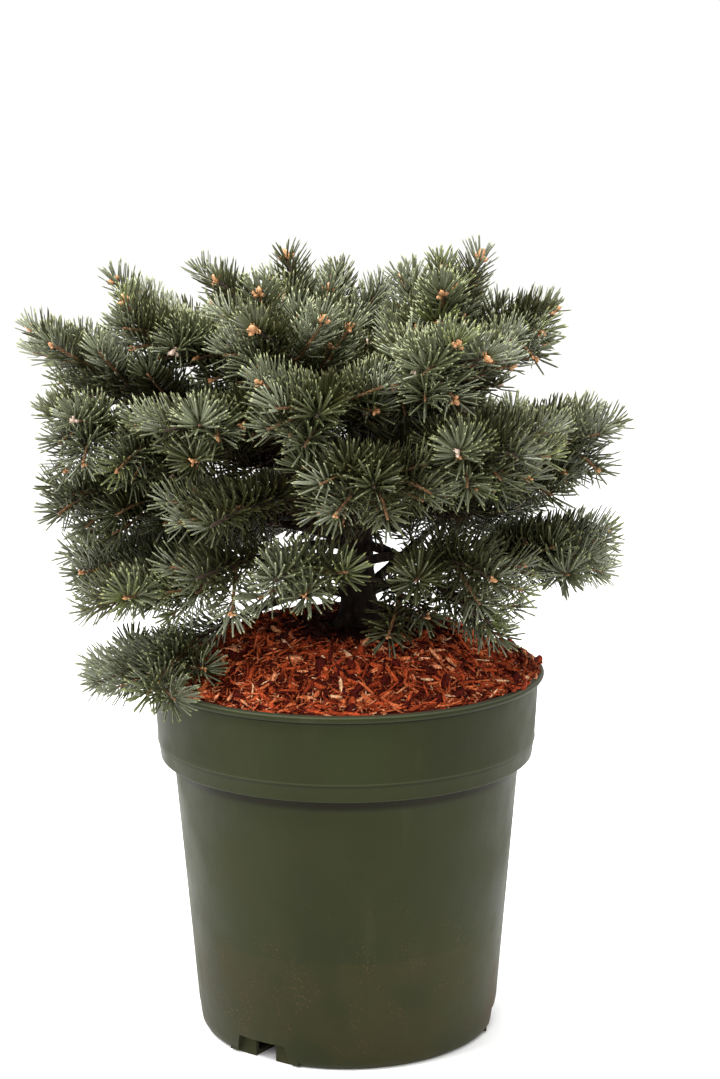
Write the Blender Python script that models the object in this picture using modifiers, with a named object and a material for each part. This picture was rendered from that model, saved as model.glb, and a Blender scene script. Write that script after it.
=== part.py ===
"""A green globe subalpine fir in its nursery pot.

Lengths are in metres, +Z is up and the origin is the centre of the pot's flat underside.
The photograph looks along +Y, so +X is its right-hand side and a bearing of 270 degrees
points at the viewer. The pot, its fill and the trunk are solids of their own. Each bough
is one tapering limb, and each mass of foliage is one solid: twigs that branch from one
stem by a seeded rule, with spikes for the needles.
"""

import math
import random
from collections import namedtuple

import bmesh
import bpy
import numpy as np
from mathutils import Vector, noise

# Gap that keeps touching solids apart
GAP = 0.0003

# Nursery pot
LIP_RADIUS = 0.1400
LIP_TOP = 0.2600
LIP_HEIGHT = 0.0045
LIP_ROUND = 0.0014
LIP_UNDERCUT = 0.0008
BAND_TOP_RADIUS = 0.1363
BAND_FOOT_RADIUS = 0.1319
BAND_FOOT = 0.1995
BAND_CREASE = 0.2120
BAND_BULGE = 0.0012
BODY_TOP_RADIUS = 0.1225
BODY_TOP = 0.1965
SHOULDER_RISE = 0.0012
BODY_FOOT_RADIUS = 0.1075
BODY_FOOT = 0.0175
STANDING_RADIUS = 0.1000
FOOT_CURVE = ((0.0058, 0.0068), (0.0025, 0.0014))
FOOT_INSET = 0.0045
WALL = 0.0022
FLOOR = 0.0030
POT_STEPS = 36

# Drains at the foot of the pot
DRAIN_BEARINGS = (235.0, 355.0, 115.0)
DRAIN_PANEL_WIDTH = 0.047
DRAIN_PANEL_HEIGHT = 0.0150
DRAIN_PANEL_DEPTH = 0.0080
DRAIN_TAPER = 0.0090
DRAIN_SLOT_WIDTH = 0.0170
DRAIN_SLOT_HEIGHT = 0.0140
DRAIN_SLOT_REACH = 0.0300
DRAIN_BACKING = 0.0110
DRAIN_BACKING_MARGIN = 0.0060
CUT_BELOW = 0.0020
CUT_BEYOND = 0.0200

# Growing mix and bark mulch
MIX_STEP_RADIUS = 0.0700
MIX_STEP_HEIGHT = 0.0220
MIX_TOP = 0.2440
MIX_SHOULDER = 0.0100
MIX_WAIST = 0.0020
MULCH_EDGE_HEIGHT = 0.2570
MULCH_CROWN_HEIGHT = 0.2900
MULCH_BUMP = 0.0030
MULCH_FLAT_RADIUS = 0.0600
MULCH_LOOSE_WIDTH = 0.0200
MULCH_SIDE = 0.0050
MULCH_RINGS = 5
MULCH_STEPS = 36
BUMP_SIZE = 0.018

# Trunk
GROUND = MULCH_CROWN_HEIGHT + GAP
TRUNK_FOOT = (0.0100, 0.0000)
TRUNK_LEAN = (0.0060, 0.0080)
TRUNK_HEIGHT = 0.1800
TRUNK_BEND = 0.0022
TRUNK_STATIONS = (0.0, 0.05, 0.11, 0.2, 0.35, 0.5, 0.65, 0.8, 0.92, 1.0)
TRUNK_RADIUS = 0.0120
TRUNK_TIP_RADIUS = 0.0042
FLARE_RADIUS = 0.0150
FLARE_HEIGHT = 0.0140
ROOT_BEARINGS = (200.0, 290.0, 20.0, 110.0)
ROOT_REACH = 0.0190
ROOT_RADIUS = 0.0045
ROOT_START = (0.0040, 0.0220)
ROOT_SAG = 0.0040
ROOT_TAPER = (0.55, 1.0, 0.8)
GROUND_BLOCK = 0.1

# Boughs and masses of foliage
BOUGH_SHARE = 0.42
BOUGH_STAGGER = 0.0110
BOUGH_RINGS = 4
STEM_RADIUS = 0.0024
STEM_TIP_RADIUS = 0.0018
STEM_STEPS = 6
STEM_BARE_STEPS = 2
TWIG_RADIUS = 0.0026
TWIG_TIP_RADIUS = 0.0016
TWIG_LENGTH = 0.062
TWIG_STEPS = 4
TWIG_BARE_STEPS = 1
TWIG_LENGTHS = (0.86, 1.10)
LATER_TWIG = 0.72
TWIG_SPREAD = 46.0
SPREAD_JITTER = (-6.0, 8.0)
TWIG_LOWEST = 0.22
TWIG_RANGE = 0.50
TWIG_PLACES = 7
PLACE_JITTER = 0.03
TWIG_APART = 0.030
TWIG_UPTURN = 0.05
TWIG_FLATNESS = 0.42
TWIG_RISE = 0.009
INNER_RISE = 0.036
STEEP_RISE = 0.050
TIP_RISE = 0.004
TWIG_DROOP = 0.034
TWIG_TRIES = 21
GOLDEN_ANGLE = 137.5
CORE_TWIST = 45.0
NEEDLE_LENGTH = 0.0215
NEEDLE_FORWARD = 0.60
NEEDLE_UPWARD = 0.22
TIP_TUFT = 0.0110
TWIG_ROOM = 0.0115
SPACE_GAP = 0.0011
LIMB_CLEARANCE = 0.0020
GROUND_CLEARANCE = 0.0030
RIM_CLEARANCE = 0.0030
RIM_WIDTH = 0.0100
CROWN_TOP = 0.5660
CROWN_FOOT = 0.2420
SEED = 41

# A tier of boughs: the height where they leave the trunk, their thickness there, how many
# side twigs each mass has, and for each bough its name, bearing, reach from the trunk's
# foot, height of its tip above the table, and the pitch of its last shoot above level.
# A tier without a thickness has no boughs: its masses grow straight from the trunk.
Tier = namedtuple("Tier", "leave thickness twigs boughs")
Bough = namedtuple("Bough", "name bearing reach height pitch")

TIERS = (
    Tier(0.312, 0.0074, 4, (
        Bough("over_rim", 198, 0.190, 0.264, -14),
        Bough("low_left", 180, 0.203, 0.342, 4),
        Bough("low_front", 250, 0.162, 0.355, -4),
        Bough("low_right", 357, 0.173, 0.359, 4),
        Bough("low_back_right", 52, 0.176, 0.372, 10),
    )),
    Tier(0.334, 0.0074, 4, (
        Bough("low_left_front", 204, 0.196, 0.328, -4),
        Bough("low_front_left", 231, 0.170, 0.352, -4),
        Bough("low_front_right", 303, 0.158, 0.350, -12),
        Bough("low_right_front", 315, 0.123, 0.311, -14),
        Bough("low_back", 98, 0.178, 0.376, 10),
        Bough("low_back_left", 140, 0.186, 0.352, 4),
    )),
    Tier(0.357, 0.0072, 4, (
        Bough("middle_left", 184, 0.214, 0.394, 6),
        Bough("middle_front", 273, 0.168, 0.428, 4),
        Bough("middle_right", 357, 0.177, 0.434, 10),
        Bough("middle_back", 76, 0.192, 0.432, 14),
        Bough("middle_back_left", 128, 0.196, 0.436, 14),
    )),
    Tier(0.380, 0.0070, 4, (
        Bough("middle_left_high", 190, 0.214, 0.448, 18),
        Bough("middle_front_left", 237, 0.180, 0.398, 2),
        Bough("middle_front_right", 305, 0.180, 0.444, 6),
        Bough("middle_back_right", 32, 0.178, 0.424, 10),
    )),
    Tier(0.404, 0.0064, 4, (
        Bough("upper_left", 180, 0.226, 0.501, 38),
        Bough("upper_left_front", 222, 0.176, 0.456, 12),
    )),
    Tier(0.410, None, 3, (
        Bough("upper_front", 260, 0.166, 0.480, 6),
        Bough("upper_right", 350, 0.133, 0.515, 2),
        Bough("upper_back", 96, 0.130, 0.526, 38),
    )),
    Tier(0.427, None, 3, (
        Bough("upper_front_left", 240, 0.138, 0.522, 26),
        Bough("upper_front_right", 299, 0.168, 0.506, 16),
        Bough("upper_back_right", 54, 0.110, 0.533, 46),
        Bough("upper_back_left", 143, 0.168, 0.500, 24),
    )),
    Tier(0.443, None, 3, (
        Bough("top_left_outer", 178, 0.168, 0.533, 58),
        Bough("top_left", 209, 0.108, 0.541, 40),
        Bough("top_middle", 157, 0.054, 0.547, 70),
        Bough("top_right", 332, 0.092, 0.552, 72),
    )),
    Tier(0.322, None, 2, (
        Bough("low_shoot", 301, 0.088, 0.313, -20),
    )),
)


def remove_everything():
    for obj in list(bpy.data.objects):
        bpy.data.objects.remove(obj, do_unlink=True)


def new_collection(name):
    collection = bpy.data.collections.new(name)
    bpy.context.scene.collection.children.link(collection)
    return collection


def plain_material(name, color, roughness):
    material = bpy.data.materials.new(name)
    material.use_nodes = True
    shader = material.node_tree.nodes["Principled BSDF"]
    shader.inputs["Base Color"].default_value = (*color, 1.0)
    shader.inputs["Roughness"].default_value = roughness
    shader.inputs["Metallic"].default_value = 0.0
    return material


def add_object(name, data, collection, material=None):
    obj = bpy.data.objects.new(name, data)
    collection.objects.link(obj)
    if material is not None:
        data.materials.append(material)
    return obj


def evaluated_mesh(obj):
    bpy.context.view_layer.update()
    evaluated = obj.evaluated_get(bpy.context.evaluated_depsgraph_get())
    return bpy.data.meshes.new_from_object(evaluated)


def as_cutter(obj):
    obj.hide_render = True
    obj.display_type = "WIRE"
    return obj


def smooth(obj, angle=35.0):
    obj.data.shade_smooth()
    obj.data.set_sharp_from_angle(angle=math.radians(angle))


def polar(bearing, radius, height=0.0):
    turn = math.radians(bearing)
    return Vector((radius * math.cos(turn), radius * math.sin(turn), height))


def turned(name, profile, steps, collection, material=None):
    """A profile of (radius, height) points, spun round the upright axis."""
    mesh = bpy.data.meshes.new(name)
    points = [(radius, 0.0, height) for radius, height in profile]
    edges = [(i, i + 1) for i in range(len(points) - 1)]
    mesh.from_pydata(points, edges, [])
    obj = add_object(name, mesh, collection, material)
    screw = obj.modifiers.new("spin", "SCREW")
    screw.steps = steps
    screw.render_steps = steps
    screw.use_merge_vertices = True
    screw.merge_threshold = 0.0001
    return obj


def fix_modifiers(obj):
    """Applies an object's modifiers to its mesh."""
    mesh = evaluated_mesh(obj)
    obj.modifiers.clear()
    old = obj.data
    obj.data = mesh
    bpy.data.meshes.remove(old)
    return obj


def tube(name, points, radii, collection, sides=6, twist=0.0):
    """A tapering tube along points, made from a curve and welded shut at its caps."""
    curve = bpy.data.curves.new(name, "CURVE")
    curve.dimensions = "3D"
    curve.bevel_depth = 1.0
    curve.bevel_resolution = (sides - 4) // 2
    curve.use_fill_caps = True
    spline = curve.splines.new("POLY")
    spline.points.add(len(points) - 1)
    for i, (point, radius) in enumerate(zip(points, radii)):
        spline.points[i].co = (*point, 1.0)
        spline.points[i].radius = radius
        spline.points[i].tilt = math.radians(twist) * i
    guide = add_object(name + "_guide", curve, collection)
    mesh = evaluated_mesh(guide)
    bpy.data.objects.remove(guide, do_unlink=True)
    bpy.data.curves.remove(curve)
    shape = bmesh.new()
    shape.from_mesh(mesh)
    bmesh.ops.remove_doubles(shape, verts=shape.verts, dist=0.00001)
    bmesh.ops.recalc_face_normals(shape, faces=shape.faces)
    shape.to_mesh(mesh)
    shape.free()
    return add_object(name, mesh, collection)


def join_by_boolean(obj, operation, operand, solver="EXACT"):
    """Joins or cuts with one object or a whole collection, and applies it."""
    boolean = obj.modifiers.new(operation.lower(), "BOOLEAN")
    boolean.operation = operation
    boolean.solver = solver
    if isinstance(operand, bpy.types.Collection):
        boolean.operand_type = "COLLECTION"
        boolean.collection = operand
    else:
        boolean.object = operand
    return fix_modifiers(obj)


# The pot

def wall_radius(height):
    """Inner radius of the pot at a height."""
    if height < BODY_FOOT:
        foot = STANDING_RADIUS - FOOT_INSET
        return foot + (BODY_FOOT_RADIUS - WALL - foot) * (height - FLOOR) / (BODY_FOOT - FLOOR)
    if height < BODY_TOP:
        share = (height - BODY_FOOT) / (BODY_TOP - BODY_FOOT)
        return BODY_FOOT_RADIUS + (BODY_TOP_RADIUS - BODY_FOOT_RADIUS) * share - WALL
    share = (height - BAND_FOOT) / (LIP_TOP - BAND_FOOT)
    return BAND_FOOT_RADIUS + (BAND_TOP_RADIUS - BAND_FOOT_RADIUS) * max(share, 0.0) - WALL


def pot_profile():
    """Floor, inner wall, lip, tall band with its overhang, tapered body and foot."""
    lip_foot = LIP_TOP - LIP_HEIGHT
    return (
        (0.0, FLOOR),
        (wall_radius(FLOOR), FLOOR),
        (wall_radius(BODY_FOOT), BODY_FOOT),
        (wall_radius(BODY_TOP - 0.0001), BODY_TOP),
        (wall_radius(BAND_FOOT), BAND_FOOT + WALL),
        (wall_radius(LIP_TOP), LIP_TOP),
        (LIP_RADIUS - LIP_ROUND, LIP_TOP),
        (LIP_RADIUS, LIP_TOP - LIP_ROUND),
        (LIP_RADIUS, lip_foot + LIP_UNDERCUT),
        (BAND_TOP_RADIUS, lip_foot),
        (BAND_FOOT_RADIUS + BAND_BULGE, BAND_CREASE),
        (BAND_FOOT_RADIUS, BAND_FOOT),
        (BODY_TOP_RADIUS, BODY_TOP + SHOULDER_RISE),
        (BODY_FOOT_RADIUS, BODY_FOOT),
        *((STANDING_RADIUS + out, height) for out, height in FOOT_CURVE),
        (STANDING_RADIUS, 0.0),
        (0.0, 0.0),
    )


def wedge_block(name, width_low, width_high, near, far, low, high, bearing, collection):
    """A block with slanted sides that stands across a radius of the pot."""
    shape = bmesh.new()
    bmesh.ops.create_cube(shape, size=1.0)
    for vert in shape.verts:
        width = width_high if vert.co.z > 0 else width_low
        vert.co = Vector((
            far if vert.co.x > 0 else near,
            width * vert.co.y,
            high if vert.co.z > 0 else low,
        ))
    mesh = bpy.data.meshes.new(name)
    shape.to_mesh(mesh)
    shape.free()
    obj = add_object(name, mesh, collection)
    obj.rotation_euler.z = math.radians(bearing)
    return obj


def build_pot(parts, cutters, material):
    pot = turned("pot", pot_profile(), POT_STEPS, parts, material)
    fix_modifiers(pot)
    wall = BODY_FOOT_RADIUS
    backing_width = DRAIN_PANEL_WIDTH + 2 * DRAIN_BACKING_MARGIN
    for i, bearing in enumerate(DRAIN_BEARINGS):
        backing = wedge_block(
            f"drain_backing_{i}", backing_width, backing_width - DRAIN_TAPER,
            wall - DRAIN_BACKING, wall - DRAIN_BACKING_MARGIN, FLOOR / 2,
            DRAIN_PANEL_HEIGHT + DRAIN_BACKING_MARGIN / 2, bearing, cutters)
        panel = wedge_block(
            f"drain_panel_{i}", DRAIN_PANEL_WIDTH, DRAIN_PANEL_WIDTH - DRAIN_TAPER,
            wall - DRAIN_PANEL_DEPTH, wall + CUT_BEYOND, -CUT_BELOW, DRAIN_PANEL_HEIGHT,
            bearing, cutters)
        slot = wedge_block(
            f"drain_slot_{i}", DRAIN_SLOT_WIDTH, DRAIN_SLOT_WIDTH,
            wall - DRAIN_SLOT_REACH, wall + CUT_BEYOND, -CUT_BELOW, DRAIN_SLOT_HEIGHT,
            bearing, cutters)
        join_by_boolean(pot, "UNION", as_cutter(backing))
        join_by_boolean(pot, "DIFFERENCE", as_cutter(panel))
        join_by_boolean(pot, "DIFFERENCE", as_cutter(slot))
    smooth(pot)
    return pot


def build_growing_mix(parts, material):
    profile = (
        (0.0, MIX_TOP),
        (wall_radius(MIX_TOP) - 2 * GAP, MIX_TOP),
        (wall_radius(BODY_TOP + MIX_WAIST) - MIX_SHOULDER, BODY_TOP - MIX_WAIST),
        (wall_radius(MIX_STEP_HEIGHT) - 2 * GAP, MIX_STEP_HEIGHT),
        (MIX_STEP_RADIUS, MIX_STEP_HEIGHT),
        (MIX_STEP_RADIUS, FLOOR + GAP),
        (0.0, FLOOR + GAP),
    )
    return turned("growing_mix", profile, POT_STEPS // 2, parts, material)


def mulch_height(radius):
    """Height of the heaped mulch: level round the trunk, falling to the pot's lip."""
    edge = wall_radius(LIP_TOP)
    share = max(0.0, (radius - MULCH_FLAT_RADIUS) / (edge - MULCH_FLAT_RADIUS))
    fall = 0.5 - 0.5 * math.cos(math.pi * min(share, 1.0))
    return MULCH_CROWN_HEIGHT - (MULCH_CROWN_HEIGHT - MULCH_EDGE_HEIGHT) * fall


def build_mulch(parts, material):
    edge = wall_radius(MIX_TOP) - 2 * GAP
    radii = [edge * i / MULCH_RINGS for i in range(MULCH_RINGS + 1)]
    top = [(radius, mulch_height(radius)) for radius in radii]
    profile = top + [(edge, MIX_TOP + GAP), (0.0, MIX_TOP + GAP)]
    mulch = fix_modifiers(turned("bark_mulch", profile, MULCH_STEPS, parts, material))
    for vert in mulch.data.vertices:
        radius = math.hypot(vert.co.x, vert.co.y)
        loose = min(max((radius - MULCH_FLAT_RADIUS) / MULCH_LOOSE_WIDTH, 0.0), 1.0)
        if vert.co.z > MIX_TOP + MULCH_SIDE:
            vert.co.z += MULCH_BUMP * loose * noise.noise(vert.co / BUMP_SIZE)
    return mulch


# The trunk

def trunk_point(height):
    """Centre of the trunk at a height above the table."""
    share = (height - GROUND) / TRUNK_HEIGHT
    bend = math.sin(math.pi * share) * TRUNK_BEND
    return Vector((
        TRUNK_FOOT[0] + TRUNK_LEAN[0] * share * share - bend,
        TRUNK_FOOT[1] + TRUNK_LEAN[1] * share + bend,
        height,
    ))


def trunk_radius(height):
    share = min(max((height - GROUND) / TRUNK_HEIGHT, 0.0), 1.0)
    plain = TRUNK_RADIUS + (TRUNK_TIP_RADIUS - TRUNK_RADIUS) * share ** 1.6
    flare = (FLARE_RADIUS - TRUNK_RADIUS) * math.exp(-(height - GROUND) / FLARE_HEIGHT)
    return plain + flare


def trunk_heights():
    return [GROUND + TRUNK_HEIGHT * share for share in TRUNK_STATIONS]


def trunk_tube(name, extra, collection):
    """The trunk's tube, or with extra a slightly larger one that cuts what meets it."""
    heights = trunk_heights()
    points = [trunk_point(height) for height in heights]
    points[-1].z += extra
    radii = [trunk_radius(height) + extra for height in heights]
    return tube(name, points, radii, collection, sides=10)


def build_trunk(parts, cutters, material):
    trunk = trunk_tube("trunk", 0.0, parts)
    trunk.data.materials.append(material)
    for vert in trunk.data.vertices:
        if vert.co.z < GROUND + TRUNK_HEIGHT * TRUNK_STATIONS[1] / 2:
            vert.co.z = GROUND
    foot = trunk_point(GROUND)
    for i, bearing in enumerate(ROOT_BEARINGS):
        outer = foot + polar(bearing, ROOT_REACH, ROOT_RADIUS * 0.4)
        inner = foot + polar(bearing, *ROOT_START)
        middle = (outer + inner) / 2 + Vector((0.0, 0.0, -ROOT_SAG))
        radii = [ROOT_RADIUS * share for share in ROOT_TAPER]
        root = tube(f"root_{i}", (outer, middle, inner), radii, cutters, sides=6)
        join_by_boolean(trunk, "UNION", as_cutter(root))
    return cut_level(trunk, cutters)


def cut_level(trunk, cutters):
    """Cuts the trunk and its root flare off flat at ground level."""
    bpy.ops.mesh.primitive_cube_add(
        size=GROUND_BLOCK, location=(*TRUNK_FOOT, GROUND - GROUND_BLOCK / 2))
    block = bpy.context.object
    block.name = "ground_cutter"
    block.users_collection[0].objects.unlink(block)
    cutters.objects.link(block)
    return join_by_boolean(trunk, "DIFFERENCE", as_cutter(block))


# Where limbs and stems run

Run = namedtuple("Run", "name bough stem thickness twigs")


def bezier(a, b, c, d, share):
    rest = 1.0 - share
    return a * rest ** 3 + b * 3 * rest * rest * share + c * 3 * rest * share ** 2 + d * share ** 3


def limb_curve(spec, leave):
    """One smooth sweep from the trunk to the tip of the last shoot."""
    start = trunk_point(leave)
    foot = Vector((*TRUNK_FOOT, 0.0))
    end = foot + polar(spec.bearing, spec.reach, spec.height)
    length = (end - start).length
    out = polar(spec.bearing, 1.0)
    rise = math.radians(spec.pitch)
    last = out * math.cos(rise) + Vector((0.0, 0.0, math.sin(rise)))
    first = (out + Vector((0.0, 0.0, 0.35))).normalized()
    return lambda share: bezier(
        start, start + first * length * 0.30, end - last * length * 0.34, end, share)


def plan_runs():
    """The run of every bough and of the stem of every mass."""
    runs = []
    for tier in TIERS:
        for order, spec in enumerate(sorted(tier.boughs, key=lambda bough: bough.bearing)):
            curve = limb_curve(spec, tier.leave + BOUGH_STAGGER * (order % 2))
            if tier.thickness is None:
                runs.append(Run(spec.name, None, stem_points(curve, 0.0), 0.0, tier.twigs))
                continue
            bough = [curve(BOUGH_SHARE * i / (BOUGH_RINGS - 1)) for i in range(BOUGH_RINGS)]
            stem = stem_points(curve, BOUGH_SHARE)
            runs.append(Run(spec.name, bough, stem, tier.thickness, tier.twigs))
    return runs


def stem_points(curve, start):
    points = [curve(start + (1.0 - start) * i / STEM_STEPS) for i in range(STEM_STEPS + 1)]
    onward = (points[1] - points[0]).normalized()
    points[0] = points[0] + onward * GAP
    return points


# Room for each mass

class Room:
    """Tells whether a point lies in a mass's own space and clear of every limb."""

    def __init__(self, runs):
        self.owners = []
        starts, ends = [], []
        for index, run in enumerate(runs):
            for a, b in zip(run.stem, run.stem[1:]):
                self.owners.append(index)
                starts.append(a)
                ends.append(b)
        self.stems = (np.array(starts), np.array(ends))
        self.owners = np.array(self.owners)
        starts, ends, radii = [], [], []
        for run in runs:
            if run.bough:
                for a, b in zip(run.bough, run.bough[1:]):
                    starts.append(a)
                    ends.append(b)
                    radii.append(run.thickness / 2)
        heights = trunk_heights()
        for low, high in zip(heights, heights[1:]):
            starts.append(trunk_point(low))
            ends.append(trunk_point(high))
            radii.append(trunk_radius(low))
        self.limbs = (np.array(starts), np.array(ends))
        self.limb_radii = np.array(radii)

    @staticmethod
    def distances(point, segments):
        starts, ends = segments
        along = ends - starts
        to_point = np.array(point) - starts
        share = np.clip((to_point * along).sum(1) / (along * along).sum(1), 0.0, 1.0)
        return np.linalg.norm(to_point - along * share[:, None], axis=1)

    def is_own(self, point, index, margin):
        away = self.distances(point, self.stems)
        own = away[self.owners == index].min()
        other = away[self.owners != index].min()
        return own + 2 * (SPACE_GAP + margin) < other

    def is_clear(self, point, margin):
        away = self.distances(point, self.limbs) - self.limb_radii
        return away.min() > LIMB_CLEARANCE + margin

    @staticmethod
    def is_above_pot(point, margin):
        radius = math.hypot(point[0], point[1])
        if radius > LIP_RADIUS + RIM_CLEARANCE + margin:
            return True
        floor = mulch_height(radius) + MULCH_BUMP
        if radius > LIP_RADIUS - RIM_WIDTH:
            floor = max(floor, LIP_TOP)
        return point[2] > floor + GROUND_CLEARANCE + margin

    def fits(self, point, index, margin=0.0):
        if not CROWN_FOOT < point[2] < CROWN_TOP:
            return False
        return (self.is_own(point, index, margin) and self.is_clear(point, margin)
                and self.is_above_pot(point, margin))


# Twigs and needles

def side_frame(direction):
    """Two directions square to a twig, the first as level as can be."""
    level = direction.cross(Vector((0.0, 0.0, 1.0)))
    if level.length < 0.05:
        level = Vector((1.0, 0.0, 0.0))
    level.normalize()
    return level, level.cross(direction).normalized()


def twig_points(start, direction, length, steps):
    """A twig that turns up a little towards its tip."""
    points = [start.copy()]
    heading = direction.normalized()
    for _ in range(steps):
        heading = (heading + Vector((0.0, 0.0, TWIG_UPTURN))).normalized()
        points.append(points[-1] + heading * length / steps)
    return points


def side_heading(onward, turn, spread):
    """A direction that leaves a line at a spread. Round a level line it stays near level."""
    level, up = side_frame(onward)
    roll = math.radians(turn)
    upper = TWIG_FLATNESS + (1.0 - TWIG_FLATNESS) * onward.z * onward.z
    outward = level * math.cos(roll) + up * math.sin(roll) * upper
    return onward * math.cos(spread) + outward.normalized() * math.sin(spread)


def within_reach(point, run):
    """Whether a point is no further out than its stem's tip, and not far above or below the stem."""
    foot = Vector(TRUNK_FOOT)
    radii = [(place.xy - foot).length for place in run.stem]
    out = (point.xy - foot).length
    stem_height = np.interp(out, radii, [place.z for place in run.stem])
    steep = (run.stem[-1] - run.stem[-2]).normalized().z
    rise = TWIG_RISE + INNER_RISE * (1.0 - out / radii[-1]) + STEEP_RISE * max(steep, 0.0) ** 6
    highest = max(min(stem_height + rise, run.stem[-1].z), stem_height + TIP_RISE)
    return out < radii[-1] and stem_height - TWIG_DROOP < point.z < highest


def plan_twigs(run, index, room):
    """Side twigs of a mass: the golden angle round the stem, skipped where they don't fit."""
    rng = random.Random(SEED + index)
    turn = rng.uniform(0.0, 360.0)
    twigs = []
    for attempt in range(TWIG_TRIES):
        share = TWIG_LOWEST + TWIG_RANGE * (attempt % TWIG_PLACES) / (TWIG_PLACES - 1)
        share += rng.uniform(-PLACE_JITTER, PLACE_JITTER)
        turn += GOLDEN_ANGLE
        length = TWIG_LENGTH * rng.uniform(*TWIG_LENGTHS)
        if attempt >= TWIG_PLACES:
            length *= LATER_TWIG
        spread = math.radians(TWIG_SPREAD + rng.uniform(*SPREAD_JITTER))
        place = share * STEM_STEPS
        joint = int(place)
        a, b = run.stem[joint], run.stem[joint + 1]
        start = a + (b - a) * (place - joint)
        onward = (b - a).normalized()
        points = twig_points(start, side_heading(onward, turn, spread), length, TWIG_STEPS)
        free = all(room.fits(point, index, TWIG_RADIUS) for point in points[2:])
        free = free and within_reach(points[-1], run)
        apart = all((points[-1] - other[-1]).length > TWIG_APART for other in twigs)
        if free and apart and len(twigs) < run.twigs:
            twigs.append(points)
    return twigs


def nears(point, lines, distance):
    """Whether a point comes near any of some polylines."""
    for line in lines:
        for a, b in zip(line, line[1:]):
            along = b - a
            share = min(max((point - a).dot(along) / along.length_squared, 0.0), 1.0)
            if (point - a - along * share).length < distance:
                return True
    return False


def needled_twig(name, points, radii, bare, index, room, others, collection):
    """A slim core whose faces are drawn out into needles, past its bare length."""
    twig = tube(name, points, radii, collection, sides=4, twist=CORE_TWIST)
    shape = bmesh.new()
    shape.from_mesh(twig.data)
    shape.faces.ensure_lookup_table()
    tip_heading = (points[-1] - points[-2]).normalized()
    for face in list(shape.faces):
        centre = face.calc_center_median()
        steps = [(centre - (a + b) / 2).length for a, b in zip(points, points[1:])]
        joint = steps.index(min(steps))
        onward = (points[joint + 1] - points[joint]).normalized()
        if (centre - points[-1]).length < radii[-1] * 0.5:
            apex = centre + tip_heading * TIP_TUFT
        elif (centre - points[0]).length < radii[0] * 0.5 or joint < bare:
            continue
        else:
            middle = (points[joint] + points[joint + 1]) / 2
            outward = centre - middle
            outward = (outward - onward * outward.dot(onward)).normalized()
            lean = outward + onward * NEEDLE_FORWARD + Vector((0.0, 0.0, NEEDLE_UPWARD))
            apex = centre + lean.normalized() * NEEDLE_LENGTH
        halfway = (centre + apex) / 2
        crossing = nears(halfway, others, TWIG_ROOM) or nears(apex, others, TWIG_ROOM)
        if not crossing and room.fits(apex, index) and room.fits(halfway, index):
            poked = bmesh.ops.poke(shape, faces=[face])
            poked["verts"][0].co = apex
    bmesh.ops.triangulate(shape, faces=[face for face in shape.faces if len(face.verts) > 3])
    shape.to_mesh(twig.data)
    shape.free()
    return twig


def taper(thick, thin, count):
    return [thick + (thin - thick) * i / (count - 1) for i in range(count)]


def keep_largest_piece(mesh):
    """Drops loose scraps that a union may leave."""
    shape = bmesh.new()
    shape.from_mesh(mesh)
    left = set(shape.verts)
    pieces = []
    while left:
        queue = [left.pop()]
        piece = set(queue)
        while queue:
            for edge in queue.pop().link_edges:
                for vert in edge.verts:
                    if vert in left:
                        left.discard(vert)
                        piece.add(vert)
                        queue.append(vert)
        pieces.append(piece)
    pieces.sort(key=len)
    scraps = [vert for piece in pieces[:-1] for vert in piece]
    bmesh.ops.delete(shape, geom=scraps, context="VERTS")
    shape.to_mesh(mesh)
    shape.free()


def build_mass(run, index, room, parts, trunk_cutter, material):
    """One mass of foliage: the stem and its twigs, fused into one solid."""
    twig_room = bpy.data.collections.new("twigs")
    bpy.context.scene.collection.children.link(twig_room)
    twigs = plan_twigs(run, index, room)
    radii = taper(STEM_RADIUS, STEM_TIP_RADIUS, len(run.stem))
    mass = needled_twig(
        "foliage_" + run.name, run.stem, radii, STEM_BARE_STEPS, index, room, twigs, parts)
    if run.bough is None:
        join_by_boolean(mass, "DIFFERENCE", trunk_cutter)
    for i, points in enumerate(twigs):
        radii = taper(TWIG_RADIUS, TWIG_TIP_RADIUS, len(points))
        others = [run.stem] + [other for other in twigs if other is not points]
        needled_twig(f"twig_{i}", points, radii, TWIG_BARE_STEPS, index, room, others, twig_room)
    if twigs:
        join_by_boolean(mass, "UNION", twig_room, solver="MANIFOLD")
    for obj in list(twig_room.objects):
        bpy.data.objects.remove(obj, do_unlink=True)
    bpy.data.collections.remove(twig_room)
    keep_largest_piece(mass.data)
    mass.data.materials.clear()
    mass.data.materials.append(material)
    return mass


def build_bough(run, parts, trunk_cutter, material):
    radii = taper(run.thickness / 2, STEM_RADIUS + GAP, len(run.bough))
    bough = tube("bough_" + run.name, run.bough, radii, parts, sides=6)
    bough.data.materials.append(material)
    join_by_boolean(bough, "DIFFERENCE", trunk_cutter)
    keep_largest_piece(bough.data)
    smooth(bough)
    return bough


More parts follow.
